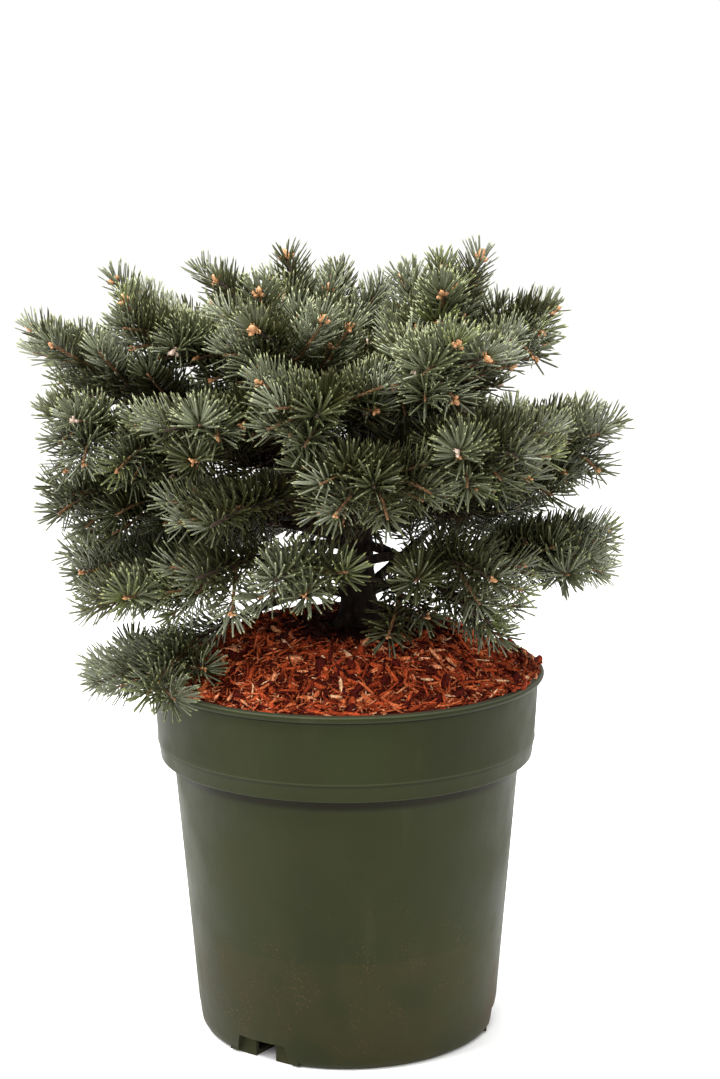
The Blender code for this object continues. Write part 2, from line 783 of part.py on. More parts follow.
def main():
    remove_everything()
    parts = new_collection("potted_green_globe_fir")
    cutters = new_collection("cutters")
    plastic = plain_material("pot_plastic", (0.047, 0.058, 0.037), 0.42)
    mix = plain_material("growing_mix", (0.030, 0.018, 0.012), 0.95)
    bark_chips = plain_material("bark_mulch", (0.300, 0.080, 0.022), 0.90)
    bark = plain_material("trunk_bark", (0.060, 0.036, 0.026), 0.90)
    needles = plain_material("fir_needles", (0.075, 0.125, 0.085), 0.55)

    build_pot(parts, cutters, plastic)
    build_growing_mix(parts, mix)
    build_mulch(parts, bark_chips)
    build_trunk(parts, cutters, bark)
    trunk_cutter = as_cutter(trunk_tube("trunk_clearance", GAP * 1.4, cutters))

    runs = plan_runs()
    room = Room(runs)
    for index, run in enumerate(runs):
        if run.bough:
            build_bough(run, parts, trunk_cutter, bark)
        build_mass(run, index, room, parts, trunk_cutter, needles)


main()
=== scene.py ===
# %% [markdown]
# This lesson dresses a small potted fir. The plant is a dwarf, round kind of subalpine fir,
# and it stands in a dark green nursery pot with shredded bark over its soil. A grower thinks
# of it from the inside out: a short trunk, boughs in tiers, twigs that fork each year, and
# needles round every young shoot. The script goes the same way, because each step then
# grows from the one before it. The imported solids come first. They fix where everything is.

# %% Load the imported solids
import math
import random
from collections import namedtuple

import bmesh
import bpy
import numpy as np
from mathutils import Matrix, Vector, noise


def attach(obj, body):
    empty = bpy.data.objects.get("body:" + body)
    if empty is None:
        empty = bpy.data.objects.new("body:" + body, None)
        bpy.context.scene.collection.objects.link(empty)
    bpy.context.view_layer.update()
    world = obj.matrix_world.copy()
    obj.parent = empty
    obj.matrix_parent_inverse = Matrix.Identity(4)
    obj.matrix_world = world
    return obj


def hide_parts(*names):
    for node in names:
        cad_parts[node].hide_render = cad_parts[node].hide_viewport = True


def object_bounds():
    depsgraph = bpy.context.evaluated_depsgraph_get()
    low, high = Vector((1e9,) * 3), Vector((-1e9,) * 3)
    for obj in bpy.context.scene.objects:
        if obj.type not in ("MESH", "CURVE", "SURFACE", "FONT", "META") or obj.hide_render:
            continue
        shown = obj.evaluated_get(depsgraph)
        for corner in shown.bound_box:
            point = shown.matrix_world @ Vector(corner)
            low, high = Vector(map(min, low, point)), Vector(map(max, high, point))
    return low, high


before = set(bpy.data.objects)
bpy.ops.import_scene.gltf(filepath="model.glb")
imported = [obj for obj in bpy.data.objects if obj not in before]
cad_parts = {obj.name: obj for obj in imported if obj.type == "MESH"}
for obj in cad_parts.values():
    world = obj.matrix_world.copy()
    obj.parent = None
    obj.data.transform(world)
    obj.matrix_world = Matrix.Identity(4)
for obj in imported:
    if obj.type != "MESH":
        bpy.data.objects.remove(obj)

cad_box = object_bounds()
print("solids reach", [round(value, 3) for corner in cad_box for value in corner])

# %% [markdown]
# A few helpers serve every piece. Blender's shader wants linear light, while a colour that is
# read off a real thing is usually written as a hex code, so one helper turns one into the
# other. The second adds an object that moves with the one body of this part, gives it its
# finish and hides the solids it replaces.

# %% Helpers for pieces and colours
def shade(code):
    """A hex colour as linear red, green, blue and alpha."""
    parts = [int(code[i:i + 2], 16) / 255 for i in (0, 2, 4)]
    linear = [v / 12.92 if v <= 0.04045 else ((v + 0.055) / 1.055) ** 2.4 for v in parts]
    return (*linear, 1.0)


def add_piece(name, mesh, finish, replaced=()):
    """A mesh as a piece of the plant or pot, with its finish and what it stands for."""
    piece = bpy.data.objects.new(name, mesh)
    bpy.context.scene.collection.objects.link(piece)
    mesh.materials.clear()
    mesh.materials.append(finish)
    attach(piece, "root")
    if replaced:
        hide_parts(*replaced)
    mesh.calc_loop_triangles()
    print(name, "has", len(mesh.loop_triangles), "triangles")
    return piece


def mesh_from_arrays(name, points, faces):
    """A mesh from an array of points and a list of arrays of triangles or quads."""
    mesh = bpy.data.meshes.new(name)
    corners = np.concatenate([block.ravel() for block in faces])
    sizes = np.concatenate([np.full(len(block), block.shape[1]) for block in faces])
    mesh.vertices.add(len(points))
    mesh.vertices.foreach_set("co", np.asarray(points, np.float32).ravel())
    mesh.loops.add(len(corners))
    mesh.loops.foreach_set("vertex_index", corners.astype(np.int32))
    mesh.polygons.add(len(sizes))
    starts = np.concatenate([[0], np.cumsum(sizes)[:-1]])
    mesh.polygons.foreach_set("loop_start", starts.astype(np.int32))
    mesh.update(calc_edges=True)
    mesh.validate()
    return mesh


def polar(bearing, radius, height=0.0):
    """A point at a bearing and radius from the pot's axis. A bearing of 270 faces the viewer."""
    turn = math.radians(bearing)
    return Vector((radius * math.cos(turn), radius * math.sin(turn), height))


# %% [markdown]
# A finish starts as one Principled shader. Real surfaces are never one flat colour, so noise
# in the object's own space varies the colour, the roughness and a fine bump. Small helpers
# keep each finish short: they make one node each and hand back its socket.

# %% Helpers for finishes
def new_finish(name, color, roughness):
    finish = bpy.data.materials.new(name)
    finish.use_nodes = True
    shader = finish.node_tree.nodes["Principled BSDF"]
    shader.inputs["Base Color"].default_value = color
    shader.inputs["Roughness"].default_value = roughness
    return finish


def socket(finish, name):
    return finish.node_tree.nodes["Principled BSDF"].inputs[name]


def pattern(finish, kind, scale, stretch=(1, 1, 1), output="Fac", **settings):
    """A noise or cell pattern in the object's own space, in cells a metre."""
    nodes, links = finish.node_tree.nodes, finish.node_tree.links
    place = nodes.new("ShaderNodeTexCoord")
    mapping = nodes.new("ShaderNodeMapping")
    mapping.inputs["Scale"].default_value = stretch
    texture = nodes.new(kind)
    texture.inputs["Scale"].default_value = scale
    for name, value in settings.items():
        texture.inputs[name].default_value = value
    links.new(place.outputs["Object"], mapping.inputs["Vector"])
    links.new(mapping.outputs["Vector"], texture.inputs["Vector"])
    return texture.outputs[output]


def ramp(finish, value, *stops):
    """Turns a value into colours: each stop is a place from 0 to 1 and a colour."""
    node = finish.node_tree.nodes.new("ShaderNodeValToRGB")
    finish.node_tree.links.new(value, node.inputs["Fac"])
    bar = node.color_ramp
    while len(bar.elements) < len(stops):
        bar.elements.new(0.5)
    for element, (place, color) in zip(bar.elements, stops):
        element.position = place
        element.color = color
    return node.outputs["Color"]


def blend(finish, factor, under, over, way="MIX"):
    """Lays one colour over another by a factor."""
    node = finish.node_tree.nodes.new("ShaderNodeMix")
    node.data_type = "RGBA"
    node.blend_type = way
    links = finish.node_tree.links
    for name, value in (("Factor_Float", factor), ("A_Color", under), ("B_Color", over)):
        entry = next(entry for entry in node.inputs if entry.identifier == name)
        if isinstance(value, bpy.types.NodeSocket):
            links.new(value, entry)
        else:
            entry.default_value = value
    return next(out for out in node.outputs if out.identifier == "Result_Color")


def level(finish, value, low, high, to_low=0.0, to_high=1.0):
    """Stretches the part of a value between two levels to a new range."""
    node = finish.node_tree.nodes.new("ShaderNodeMapRange")
    for name, number in zip(("From Min", "From Max", "To Min", "To Max"), (low, high, to_low, to_high)):
        node.inputs[name].default_value = number
    finish.node_tree.links.new(value, node.inputs["Value"])
    return node.outputs["Result"]


def product(finish, first, second):
    node = finish.node_tree.nodes.new("ShaderNodeMath")
    node.operation = "MULTIPLY"
    finish.node_tree.links.new(first, node.inputs[0])
    finish.node_tree.links.new(second, node.inputs[1])
    return node.outputs["Value"]


def place_on(finish, axis):
    """Where the surface lies on an axis, in metres. On Z that is its height above the floor."""
    nodes, links = finish.node_tree.nodes, finish.node_tree.links
    place = nodes.new("ShaderNodeTexCoord")
    split = nodes.new("ShaderNodeSeparateXYZ")
    links.new(place.outputs["Object"], split.inputs["Vector"])
    return split.outputs[axis]


def relief(finish, value, distance, strength=1.0):
    """A bump of a given depth in metres, chained onto any bump that is there already."""
    node = finish.node_tree.nodes.new("ShaderNodeBump")
    node.inputs["Distance"].default_value = distance
    node.inputs["Strength"].default_value = strength
    links = finish.node_tree.links
    normal = socket(finish, "Normal")
    if normal.is_linked:
        links.new(normal.links[0].from_socket, node.inputs["Normal"])
    links.new(value, node.inputs["Height"])
    links.new(node.outputs["Normal"], normal)


def paint(finish, value, name="Base Color"):
    finish.node_tree.links.new(value, socket(finish, name))


# %% [markdown]
# The pot is blow-moulded polyethylene: a tapered body, a tall band round the top that stands
# out over the body, and a lip that is turned over at the rim. A turned shape is half an
# outline and a spin, so the outline below is drawn once and the Screw modifier spins it.
# The sizes are those of the solids. The outline only adds what the eye sees close by:
# the round of the lip, the soft bends of the band and the bead at the foot.

# %% Outline of the pot
LIP_RADIUS = 0.1400
LIP_TOP = 0.2600
LIP_HEIGHT = 0.0045
BAND_TOP_RADIUS = 0.1363
BAND_FOOT_RADIUS = 0.1319
BAND_FOOT = 0.1995
BAND_CREASE = 0.2120
BODY_TOP_RADIUS = 0.1225
BODY_TOP = 0.1965
BODY_FOOT_RADIUS = 0.1075
BODY_FOOT = 0.0175
STANDING_RADIUS = 0.1000
WALL = 0.0022
FLOOR = 0.0030
POT_STEPS = 180


def band_radius(height):
    share = (height - BAND_FOOT) / (LIP_TOP - BAND_FOOT)
    return BAND_FOOT_RADIUS + (BAND_TOP_RADIUS - BAND_FOOT_RADIUS) * max(share, 0.0)


def body_radius(height):
    share = (height - BODY_FOOT) / (BODY_TOP - BODY_FOOT)
    return BODY_FOOT_RADIUS + (BODY_TOP_RADIUS - BODY_FOOT_RADIUS) * share


def arc(centre, radius, start, end, steps):
    """Points of (radius, height) on an arc, from one angle to another in degrees."""
    turns = [math.radians(start + (end - start) * i / steps) for i in range(steps + 1)]
    return [(centre[0] + radius * math.cos(t), centre[1] + radius * math.sin(t)) for t in turns]


def pot_outline():
    """Floor and inner wall up to the rim, then the lip, the band and the body down to the foot."""
    lip_round = LIP_HEIGHT / 2
    lip_heart = (LIP_RADIUS - lip_round, LIP_TOP - lip_round)
    inner = [
        (0.0, FLOOR),
        (STANDING_RADIUS - 0.0045, FLOOR),
        (body_radius(BODY_FOOT) - WALL, BODY_FOOT),
        (body_radius(BODY_TOP) - WALL, BODY_TOP),
        (band_radius(BAND_FOOT) - WALL, BAND_FOOT + WALL),
        (band_radius(LIP_TOP) - WALL, LIP_TOP - 0.0006),
        (band_radius(LIP_TOP) - WALL + 0.0006, LIP_TOP),
    ]
    lip = arc(lip_heart, lip_round, 90, -75, 10)
    band = [
        (band_radius(LIP_TOP - LIP_HEIGHT), LIP_TOP - LIP_HEIGHT - 0.0002),
        (band_radius(0.2545) + 0.0001, 0.2545),
        (band_radius(BAND_CREASE) + 0.0009, BAND_CREASE + 0.0030),
        (band_radius(BAND_CREASE) + 0.0011, BAND_CREASE),
        (band_radius(BAND_CREASE) + 0.0002, BAND_CREASE - 0.0026),
    ]
    hem = arc((BAND_FOOT_RADIUS - 0.0014, BAND_FOOT + 0.0014), 0.0014, 0, -90, 5)
    shoulder = [
        (BODY_TOP_RADIUS + 0.0030, BODY_TOP + 0.0024),
        (BODY_TOP_RADIUS + 0.0006, BODY_TOP + 0.0012),
        (BODY_TOP_RADIUS - 0.0001, BODY_TOP - 0.0016),
    ]
    body = [(body_radius(height), height) for height in (0.15, 0.10, 0.05, BODY_FOOT + 0.002)]
    foot = [
        (BODY_FOOT_RADIUS - 0.0006, BODY_FOOT - 0.002),
        (STANDING_RADIUS + 0.0062, 0.0090),
        (STANDING_RADIUS + 0.0054, 0.0045),
        (STANDING_RADIUS + 0.0036, 0.0016),
        (STANDING_RADIUS + 0.0012, 0.0002),
        (STANDING_RADIUS, 0.0),
        (0.0, 0.0),
    ]
    return inner + lip + band + hem + shoulder + body + foot


print("pot outline has", len(pot_outline()), "points and is", LIP_TOP * 1000, "mm tall")


# %% Spin the pot
def spun(name, outline, steps):
    """An outline of (radius, height) points, spun round the upright axis."""
    mesh = bpy.data.meshes.new(name)
    edges = [(i, i + 1) for i in range(len(outline) - 1)]
    mesh.from_pydata([(radius, 0.0, height) for radius, height in outline], edges, [])
    guide = bpy.data.objects.new(name, mesh)
    bpy.context.scene.collection.objects.link(guide)
    screw = guide.modifiers.new("spin", "SCREW")
    screw.steps = screw.render_steps = steps
    screw.use_merge_vertices = True
    screw.merge_threshold = 0.00001
    return guide


def settled(guide):
    """The guide's mesh with its modifiers applied. The guide itself is removed."""
    bpy.context.view_layer.update()
    mesh = bpy.data.meshes.new_from_object(
        guide.evaluated_get(bpy.context.evaluated_depsgraph_get()))
    bpy.data.objects.remove(guide, do_unlink=True)
    return mesh


pot_guide = spun("pot_guide", pot_outline(), POT_STEPS)

# %% [markdown]
# Water leaves through drains at the foot. At each one the wall is set back in a flat panel,
# with a slot in its middle through which light shows. Cutting is the plain way to make that,
# so blocks with slanted sides are taken out of the wall with Boolean modifiers, after a
# thicker backing has been added for the panel to be cut into.

# %% Cut the drains
DRAIN_BEARINGS = (235.0, 355.0, 115.0)
DRAIN_PANEL_WIDTH = 0.047
DRAIN_PANEL_HEIGHT = 0.0150
DRAIN_PANEL_DEPTH = 0.0080
DRAIN_TAPER = 0.0090
DRAIN_SLOT_WIDTH = 0.0170
DRAIN_SLOT_HEIGHT = 0.0140
DRAIN_SLOT_REACH = 0.0300
DRAIN_BACKING = 0.0110
DRAIN_BACKING_MARGIN = 0.0060
CUT_BELOW = 0.0020
CUT_BEYOND = 0.0200


def drain_block(widths, depths, heights, bearing):
    """A block across a radius of the pot. Its depths are inward from the wall at the foot."""
    shape = bmesh.new()
    bmesh.ops.create_cube(shape, size=1.0)
    for vert in shape.verts:
        width = widths[1] if vert.co.z > 0 else widths[0]
        depth = depths[1] if vert.co.x > 0 else depths[0]
        height = heights[1] if vert.co.z > 0 else heights[0]
        vert.co = Vector((BODY_FOOT_RADIUS - depth, width * vert.co.y, height))
    mesh = bpy.data.meshes.new("drain_block")
    shape.to_mesh(mesh)
    shape.free()
    block = bpy.data.objects.new("drain_block", mesh)
    block.rotation_euler.z = math.radians(bearing)
    bpy.context.scene.collection.objects.link(block)
    return block


def join_block(guide, operation, block):
    boolean = guide.modifiers.new(operation.lower(), "BOOLEAN")
    boolean.operation = operation
    boolean.object = block
    return block


drain_blocks = []
backing_width = DRAIN_PANEL_WIDTH + 2 * DRAIN_BACKING_MARGIN
backing_top = DRAIN_PANEL_HEIGHT + DRAIN_BACKING_MARGIN / 2
for bearing in DRAIN_BEARINGS:
    drain_blocks.append(join_block(pot_guide, "UNION", drain_block(
        (backing_width, backing_width - DRAIN_TAPER), (DRAIN_BACKING, DRAIN_BACKING_MARGIN),
        (FLOOR / 2, backing_top), bearing)))
    drain_blocks.append(join_block(pot_guide, "DIFFERENCE", drain_block(
        (DRAIN_PANEL_WIDTH, DRAIN_PANEL_WIDTH - DRAIN_TAPER), (DRAIN_PANEL_DEPTH, -CUT_BEYOND),
        (-CUT_BELOW, DRAIN_PANEL_HEIGHT), bearing)))
    drain_blocks.append(join_block(pot_guide, "DIFFERENCE", drain_block(
        (DRAIN_SLOT_WIDTH, DRAIN_SLOT_WIDTH), (DRAIN_SLOT_REACH, -CUT_BEYOND),
        (-CUT_BELOW, DRAIN_SLOT_HEIGHT), bearing)))
pot_mesh = settled(pot_guide)
for block in drain_blocks:
    bpy.data.objects.remove(block, do_unlink=True)
pot_mesh.shade_smooth()
pot_mesh.set_sharp_from_angle(angle=math.radians(40))
print("pot mesh has", len(pot_mesh.polygons), "faces")

# %% [markdown]
# The plastic is a dark olive green with a satin skin. It has stood outdoors: fine dust lies
# on it and thickens below a tide line, rust-brown specks of bark dust stick to the lower
# half, and handling has left pale scuffs. Each of these is a mask made from noise, laid over
# the green in turn. The same masks make the places with dust rougher, because dust is matt.
# Thin rings at fixed heights are then laid over as painted light: painted shadow under the
# band and under the lip, painted shade and a painted highlight at the crease, and a painted
# highlight along the top of the lip.

# %% Finish of the pot
# Rings of painted light at fixed heights: lowest and highest height, strength and colour.
PAINTED_LIGHT_RINGS = (
    # painted shadow under the band
    (0.1895, 0.2000, 0.85, "0b0704"),
    # painted shade just below the crease
    (0.2092, 0.2118, 0.50, "0d0f06"),
    # painted highlight on the crease
    (0.2118, 0.2128, 0.22, "4a4f38"),
    # painted shadow under the lip
    (0.2535, 0.2562, 0.85, "0a0c05"),
    # painted highlight along the top of the lip
    (0.2588, 0.2601, 0.40, "5b604c"),
)


def pot_finish():
    finish = new_finish("pot_plastic", shade("1b1f0b"), 0.55)
    green = ramp(finish, pattern(finish, "ShaderNodeTexNoise", 14, (1, 1, 0.5), Detail=5.0),
                 (0.30, shade("191d0b")), (0.70, shade("1f240e")))
    rising = place_on(finish, "Z")
    tide = level(finish, rising, 0.0805, 0.0790)
    cloud = level(finish, pattern(finish, "ShaderNodeTexNoise", 24, Detail=8.0), 0.38, 0.72)
    dust = product(finish, cloud, level(finish, rising, 0.20, 0.02, 0.06, 0.22))
    dust_and_painted_light = blend(finish, dust, green, shade("3e3620"))
    dust_and_painted_light = blend(finish, product(finish, tide, level(finish, cloud, 0.0, 1.0, 0.10, 0.26)),
                  dust_and_painted_light, shade("332a16"))
    streak = pattern(finish, "ShaderNodeTexNoise", 60, (1, 1, 0.10), Detail=4.0)
    dust_and_painted_light = blend(finish, level(finish, streak, 0.62, 0.76, 0.0, 0.10), dust_and_painted_light, shade("4a4630"))
    speck = pattern(finish, "ShaderNodeTexVoronoi", 420, output="Distance")
    few = level(finish, pattern(finish, "ShaderNodeTexNoise", 45, Detail=3.0), 0.50, 0.62)
    specks = product(finish, product(finish, level(finish, speck, 0.20, 0.12), few),
                     level(finish, rising, 0.17, 0.05))
    dust_and_painted_light = blend(finish, specks, dust_and_painted_light, shade("563a20"))
    # Darker brown patches on the right side, strongest near the foot.
    right_foot_darkening = product(finish, level(finish, place_on(finish, "X"), 0.093, 0.103),
                    product(finish, level(finish, rising, 0.090, 0.050), cloud))
    dust_and_painted_light = blend(finish, right_foot_darkening, dust_and_painted_light, shade("362411"))
    # The rings lay painted shadows and painted highlights over the plastic.
    for low, high, strength, code in PAINTED_LIGHT_RINGS:
        edge = (high - low) / 3
        line = product(finish, level(finish, rising, low, low + edge, 0.0, strength),
                       level(finish, rising, high, high - edge))
        dust_and_painted_light = blend(finish, line, dust_and_painted_light, shade(code))
    paint(finish, dust_and_painted_light)
    paint(finish, level(finish, cloud, 0.0, 1.0, 0.46, 0.66), "Roughness")
    socket(finish, "Specular IOR Level").default_value = 0.075
    socket(finish, "Specular Tint").default_value = (1.0, 0.99, 0.84, 1.0)
    socket(finish, "Sheen Weight").default_value = 0.05
    socket(finish, "Sheen Roughness").default_value = 0.60
    socket(finish, "Sheen Tint").default_value = (1.0, 0.98, 0.80, 1.0)
    relief(finish, pattern(finish, "ShaderNodeTexNoise", 420, Detail=3.0), 0.00010)
    relief(finish, pattern(finish, "ShaderNodeTexNoise", 30, Detail=2.0), 0.0006)
    return finish


pot = add_piece("pot_shell", pot_mesh, pot_finish(), ["pot"])

# %% [markdown]
# Under the bark lies the growing mix, dark and moist. Only a glimpse of it could show through
# a drain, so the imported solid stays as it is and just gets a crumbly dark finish.

# %% Finish of the growing mix
def mix_finish():
    finish = new_finish("growing_mix", shade("2a1d15"), 0.95)
    crumb = pattern(finish, "ShaderNodeTexVoronoi", 260, output="Distance")
    paint(finish, ramp(finish, crumb, (0.0, shade("1a120d")), (0.7, shade("3c2a1d"))))
    relief(finish, crumb, 0.0015)
    return finish


mix_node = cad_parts["growing_mix"]
mix_node.data.materials.clear()
mix_node.data.materials.append(mix_finish())
print("growing mix keeps its solid, with", len(mix_node.data.polygons), "faces")

# %% [markdown]
# The mulch is shredded bark, heaped higher round the trunk and level with the lip at the
# edge. Its bed is a round grid of rings whose height follows the same fall as the solid's,
# with finer bumps on top. The grid is made from rings, one by one, because every point needs
# its own height.

# %% Bed of the mulch
MULCH_EDGE_HEIGHT = 0.2570
MULCH_CROWN_HEIGHT = 0.2900
MULCH_FLAT_RADIUS = 0.0600
MULCH_LOOSE_WIDTH = 0.0200
MULCH_BUMP = 0.0030
RIM_HEAP = 0.0026
BUMP_SIZE = 0.018
MIX_TOP = 0.2440
BED_RINGS = 70
BED_STEPS = 220
GAP = 0.0003
EDGE_RADIUS = band_radius(LIP_TOP) - WALL


def mulch_height(radius):
    """Height of the heaped mulch: level round the trunk, falling to the pot's lip."""
    share = (radius - MULCH_FLAT_RADIUS) / (EDGE_RADIUS - MULCH_FLAT_RADIUS)
    fall = 0.5 - 0.5 * math.cos(math.pi * min(max(share, 0.0), 1.0))
    return MULCH_CROWN_HEIGHT - (MULCH_CROWN_HEIGHT - MULCH_EDGE_HEIGHT) * fall


def bed_point(x, y):
    """The mulch's surface at a place, with its coarse and its fine bumps."""
    radius = math.hypot(x, y)
    loose = min(max((radius - MULCH_FLAT_RADIUS) / MULCH_LOOSE_WIDTH, 0.0), 1.0)
    height = mulch_height(radius) + RIM_HEAP * min(max((radius - EDGE_RADIUS) / 0.020 + 1.2, 0.0), 1.0)
    height += MULCH_BUMP * loose * noise.noise(Vector((x, y, height)) / BUMP_SIZE)
    height += 0.0016 * noise.noise(Vector((x, y, 0.3)) / 0.005) - 0.0012
    return Vector((x, y, height))


def build_bed():
    points = [bed_point(0.0, 0.0)]
    edge = EDGE_RADIUS - 2 * GAP
    for ring in range(1, BED_RINGS + 1):
        radius = edge * ring / BED_RINGS
        for step in range(BED_STEPS):
            place = polar(360.0 * step / BED_STEPS, radius)
            points.append(bed_point(place.x, place.y))
    low = [polar(360.0 * step / BED_STEPS, edge - 0.002, MIX_TOP + GAP) for step in range(BED_STEPS)]
    points += low
    steps = np.arange(BED_STEPS)
    onward = (steps + 1) % BED_STEPS
    fan = np.stack([np.zeros(BED_STEPS, int), 1 + steps, 1 + onward], axis=1)
    quads = [np.stack([1 + ring * BED_STEPS + steps, 1 + (ring + 1) * BED_STEPS + steps,
                       1 + (ring + 1) * BED_STEPS + onward, 1 + ring * BED_STEPS + onward], axis=1)
             for ring in range(BED_RINGS)]
    foot = (1 + BED_RINGS * BED_STEPS + steps)[::-1][None, :]
    mesh = mesh_from_arrays("mulch_bed", np.array(points), [fan, np.concatenate(quads), foot])
    mesh.shade_smooth()
    return mesh


bed_mesh = build_bed()

# %% [markdown]
# The bed alone would look like clay. What makes it bark is thousands of shreds: short
# fibres matted together, longer splinters, and a few broad chips of inner bark. One shred is
# a ragged spindle with three sides. All of them are worked out at once in arrays and joined
# by colour, because thousands of separate objects would be slow.

# %% Shape of the splinters
SPLINTERS = 14000
SPLINTER_SIDES = 3
CHIP_RINGS = ((0.0, 0.35), (0.18, 1.0), (0.80, 0.85), (1.0, 0.40))
FIBRE_RINGS = ((0.0, 0.80), (1.0, 0.60))


def splinter_arrays(centres, headings, ups, lengths, widths, outline, rng):
    """Points and faces of many splinters. The outline gives each ring's place and girth."""
    count = len(centres)
    places, girths = np.array(outline).T
    across = np.cross(headings, ups)
    across /= np.linalg.norm(across, axis=1)[:, None]
    above = np.cross(across, headings)
    rings = len(places)
    ragged = rng.uniform(0.6, 1.3, (count, rings, SPLINTER_SIDES))
    bend = rng.normal(0.0, 0.05, (count, 1)) * (1 - (2 * places - 1) ** 2)[None, :]
    middle = (centres[:, None, :]
              + headings[:, None, :] * ((places - 0.5)[None, :, None] * lengths[:, None, None])
              + above[:, None, :] * (bend * lengths[:, None])[:, :, None])
    thick = (widths * rng.uniform(0.35, 0.75, count)).clip(0.0006, 0.0024)
    points = []
    for side in range(SPLINTER_SIDES):
        turn = 2 * math.pi * side / SPLINTER_SIDES - math.pi / 6
        reach = girths[None, :] * ragged[:, :, side]
        points.append(middle
                      + across[:, None, :] * (math.cos(turn) * reach * widths[:, None] / 2)[:, :, None]
                      + above[:, None, :] * (math.sin(turn) * reach * thick[:, None] / 2)[:, :, None])
    size = SPLINTER_SIDES
    points = np.stack(points, axis=2).reshape(count * rings * size, 3)
    first = (np.arange(count) * rings * size)[:, None]
    quads = []
    for ring in range(rings - 1):
        for side in range(size):
            next_side = (side + 1) % size
            quads.append(np.concatenate([
                first + ring * size + side, first + ring * size + next_side,
                first + (ring + 1) * size + next_side, first + (ring + 1) * size + side], axis=1))
    ends = [first + np.arange(size)[None, ::-1], first + (rings - 1) * size + np.arange(size)[None]]
    return points, [np.concatenate(quads), np.concatenate(ends)]


# %% [markdown]
# Where they lie: anywhere on the bed, each pressed down until only its upper half shows.
# Most lie nearly flat, and a few stand up at a slant. The colours follow the real heap, from
# nearly black through red-brown to the orange and straw of fresh inner bark, and each colour
# becomes one piece.

# %% Lay the splinters
SPLINTER_TONES = (
    # The first tone is painted shade: only splinters near the trunk get it.
    ("painted_trunk_shade", "2c0c07", 0.00),
    ("dark", "4a1008", 0.20),
    ("umber", "853116", 0.25),
    ("russet", "ad4824", 0.26),
    ("orange", "c5663b", 0.19),
    ("straw", "d78c61", 0.07),
    ("pale", "e8b188", 0.03),
)
LAPPING_SHARE = 0.07
FRONT_LIP = -0.66


def lay_splinters():
    rng = np.random.default_rng(11)
    radius = (EDGE_RADIUS - 0.003) * np.sqrt(rng.uniform(0.012, 1.0, SPLINTERS))
    bearing = rng.uniform(0, 2 * math.pi, SPLINTERS)
    lapping = (rng.uniform(0, 1, SPLINTERS) < LAPPING_SHARE) & (np.sin(bearing) > FRONT_LIP)
    radius = np.where(lapping, EDGE_RADIUS + rng.uniform(-0.004, 0.003, SPLINTERS), radius)
    kind = rng.choice(3, SPLINTERS, p=(0.78, 0.16, 0.06))
    lengths = np.choose(kind, [rng.uniform(0.0020, 0.0070, SPLINTERS), rng.uniform(0.006, 0.017, SPLINTERS),
                               rng.uniform(0.007, 0.016, SPLINTERS)])
    widths = np.choose(kind, [rng.uniform(0.0007, 0.0020, SPLINTERS), rng.uniform(0.0014, 0.0034, SPLINTERS),
                              rng.uniform(0.0040, 0.0088, SPLINTERS)])
    turn = rng.uniform(0, 2 * math.pi, SPLINTERS)
    tilt = rng.normal(0.0, 0.22, SPLINTERS) + (rng.uniform(0, 1, SPLINTERS) < 0.10) * 0.5
    near_edge = radius + lengths / 2 > EDGE_RADIUS - 0.004
    turn = np.where(near_edge, bearing + math.pi / 2 + rng.normal(0, 0.25, SPLINTERS), turn)
    centres = np.array([bed_point(r * math.cos(b), r * math.sin(b)) for r, b in zip(radius, bearing)])
    slope = -np.array([(mulch_height(r + 0.004) - mulch_height(r - 0.004)) / 0.008 for r in radius])
    ups = np.stack([slope * np.cos(bearing), slope * np.sin(bearing), np.ones(SPLINTERS)], axis=1)
    ups += rng.normal(0, 0.22, (SPLINTERS, 3))
    ups /= np.linalg.norm(ups, axis=1)[:, None]
    flat = np.stack([np.cos(turn), np.sin(turn), np.zeros(SPLINTERS)], axis=1)
    flat -= ups * (flat * ups).sum(1)[:, None]
    flat /= np.linalg.norm(flat, axis=1)[:, None]
    headings = flat * np.cos(tilt)[:, None] + ups * np.sin(tilt)[:, None]
    lift = np.abs(np.sin(tilt)) * lengths * 0.25 + rng.uniform(0.0, 0.0022, SPLINTERS)
    centres = centres + ups * lift[:, None]
    centres[lapping, 2] = LIP_TOP + rng.uniform(0.0004, 0.0026, lapping.sum())
    return centres, headings, ups, lengths, widths, kind, rng


def bark_tone_finish(name, code):
    finish = new_finish("mulch_" + name, shade(code), 0.85)
    fibre = pattern(finish, "ShaderNodeTexNoise", 900, (1, 1, 0.35), Detail=4.0)
    dark = tuple(0.26 * value for value in shade(code)[:3]) + (1.0,)
    light = tuple(min(1.35 * value, 1.0) for value in shade(code)[:3]) + (1.0,)
    paint(finish, ramp(finish, fibre, (0.30, dark), (0.62, light)))
    socket(finish, "Specular IOR Level").default_value = 0.12
    relief(finish, fibre, 0.0006)
    return finish


centres, headings, ups, lengths, widths, kind, splinter_rng = lay_splinters()
tone_of = splinter_rng.choice(len(SPLINTER_TONES), SPLINTERS, p=[tone[2] for tone in SPLINTER_TONES])
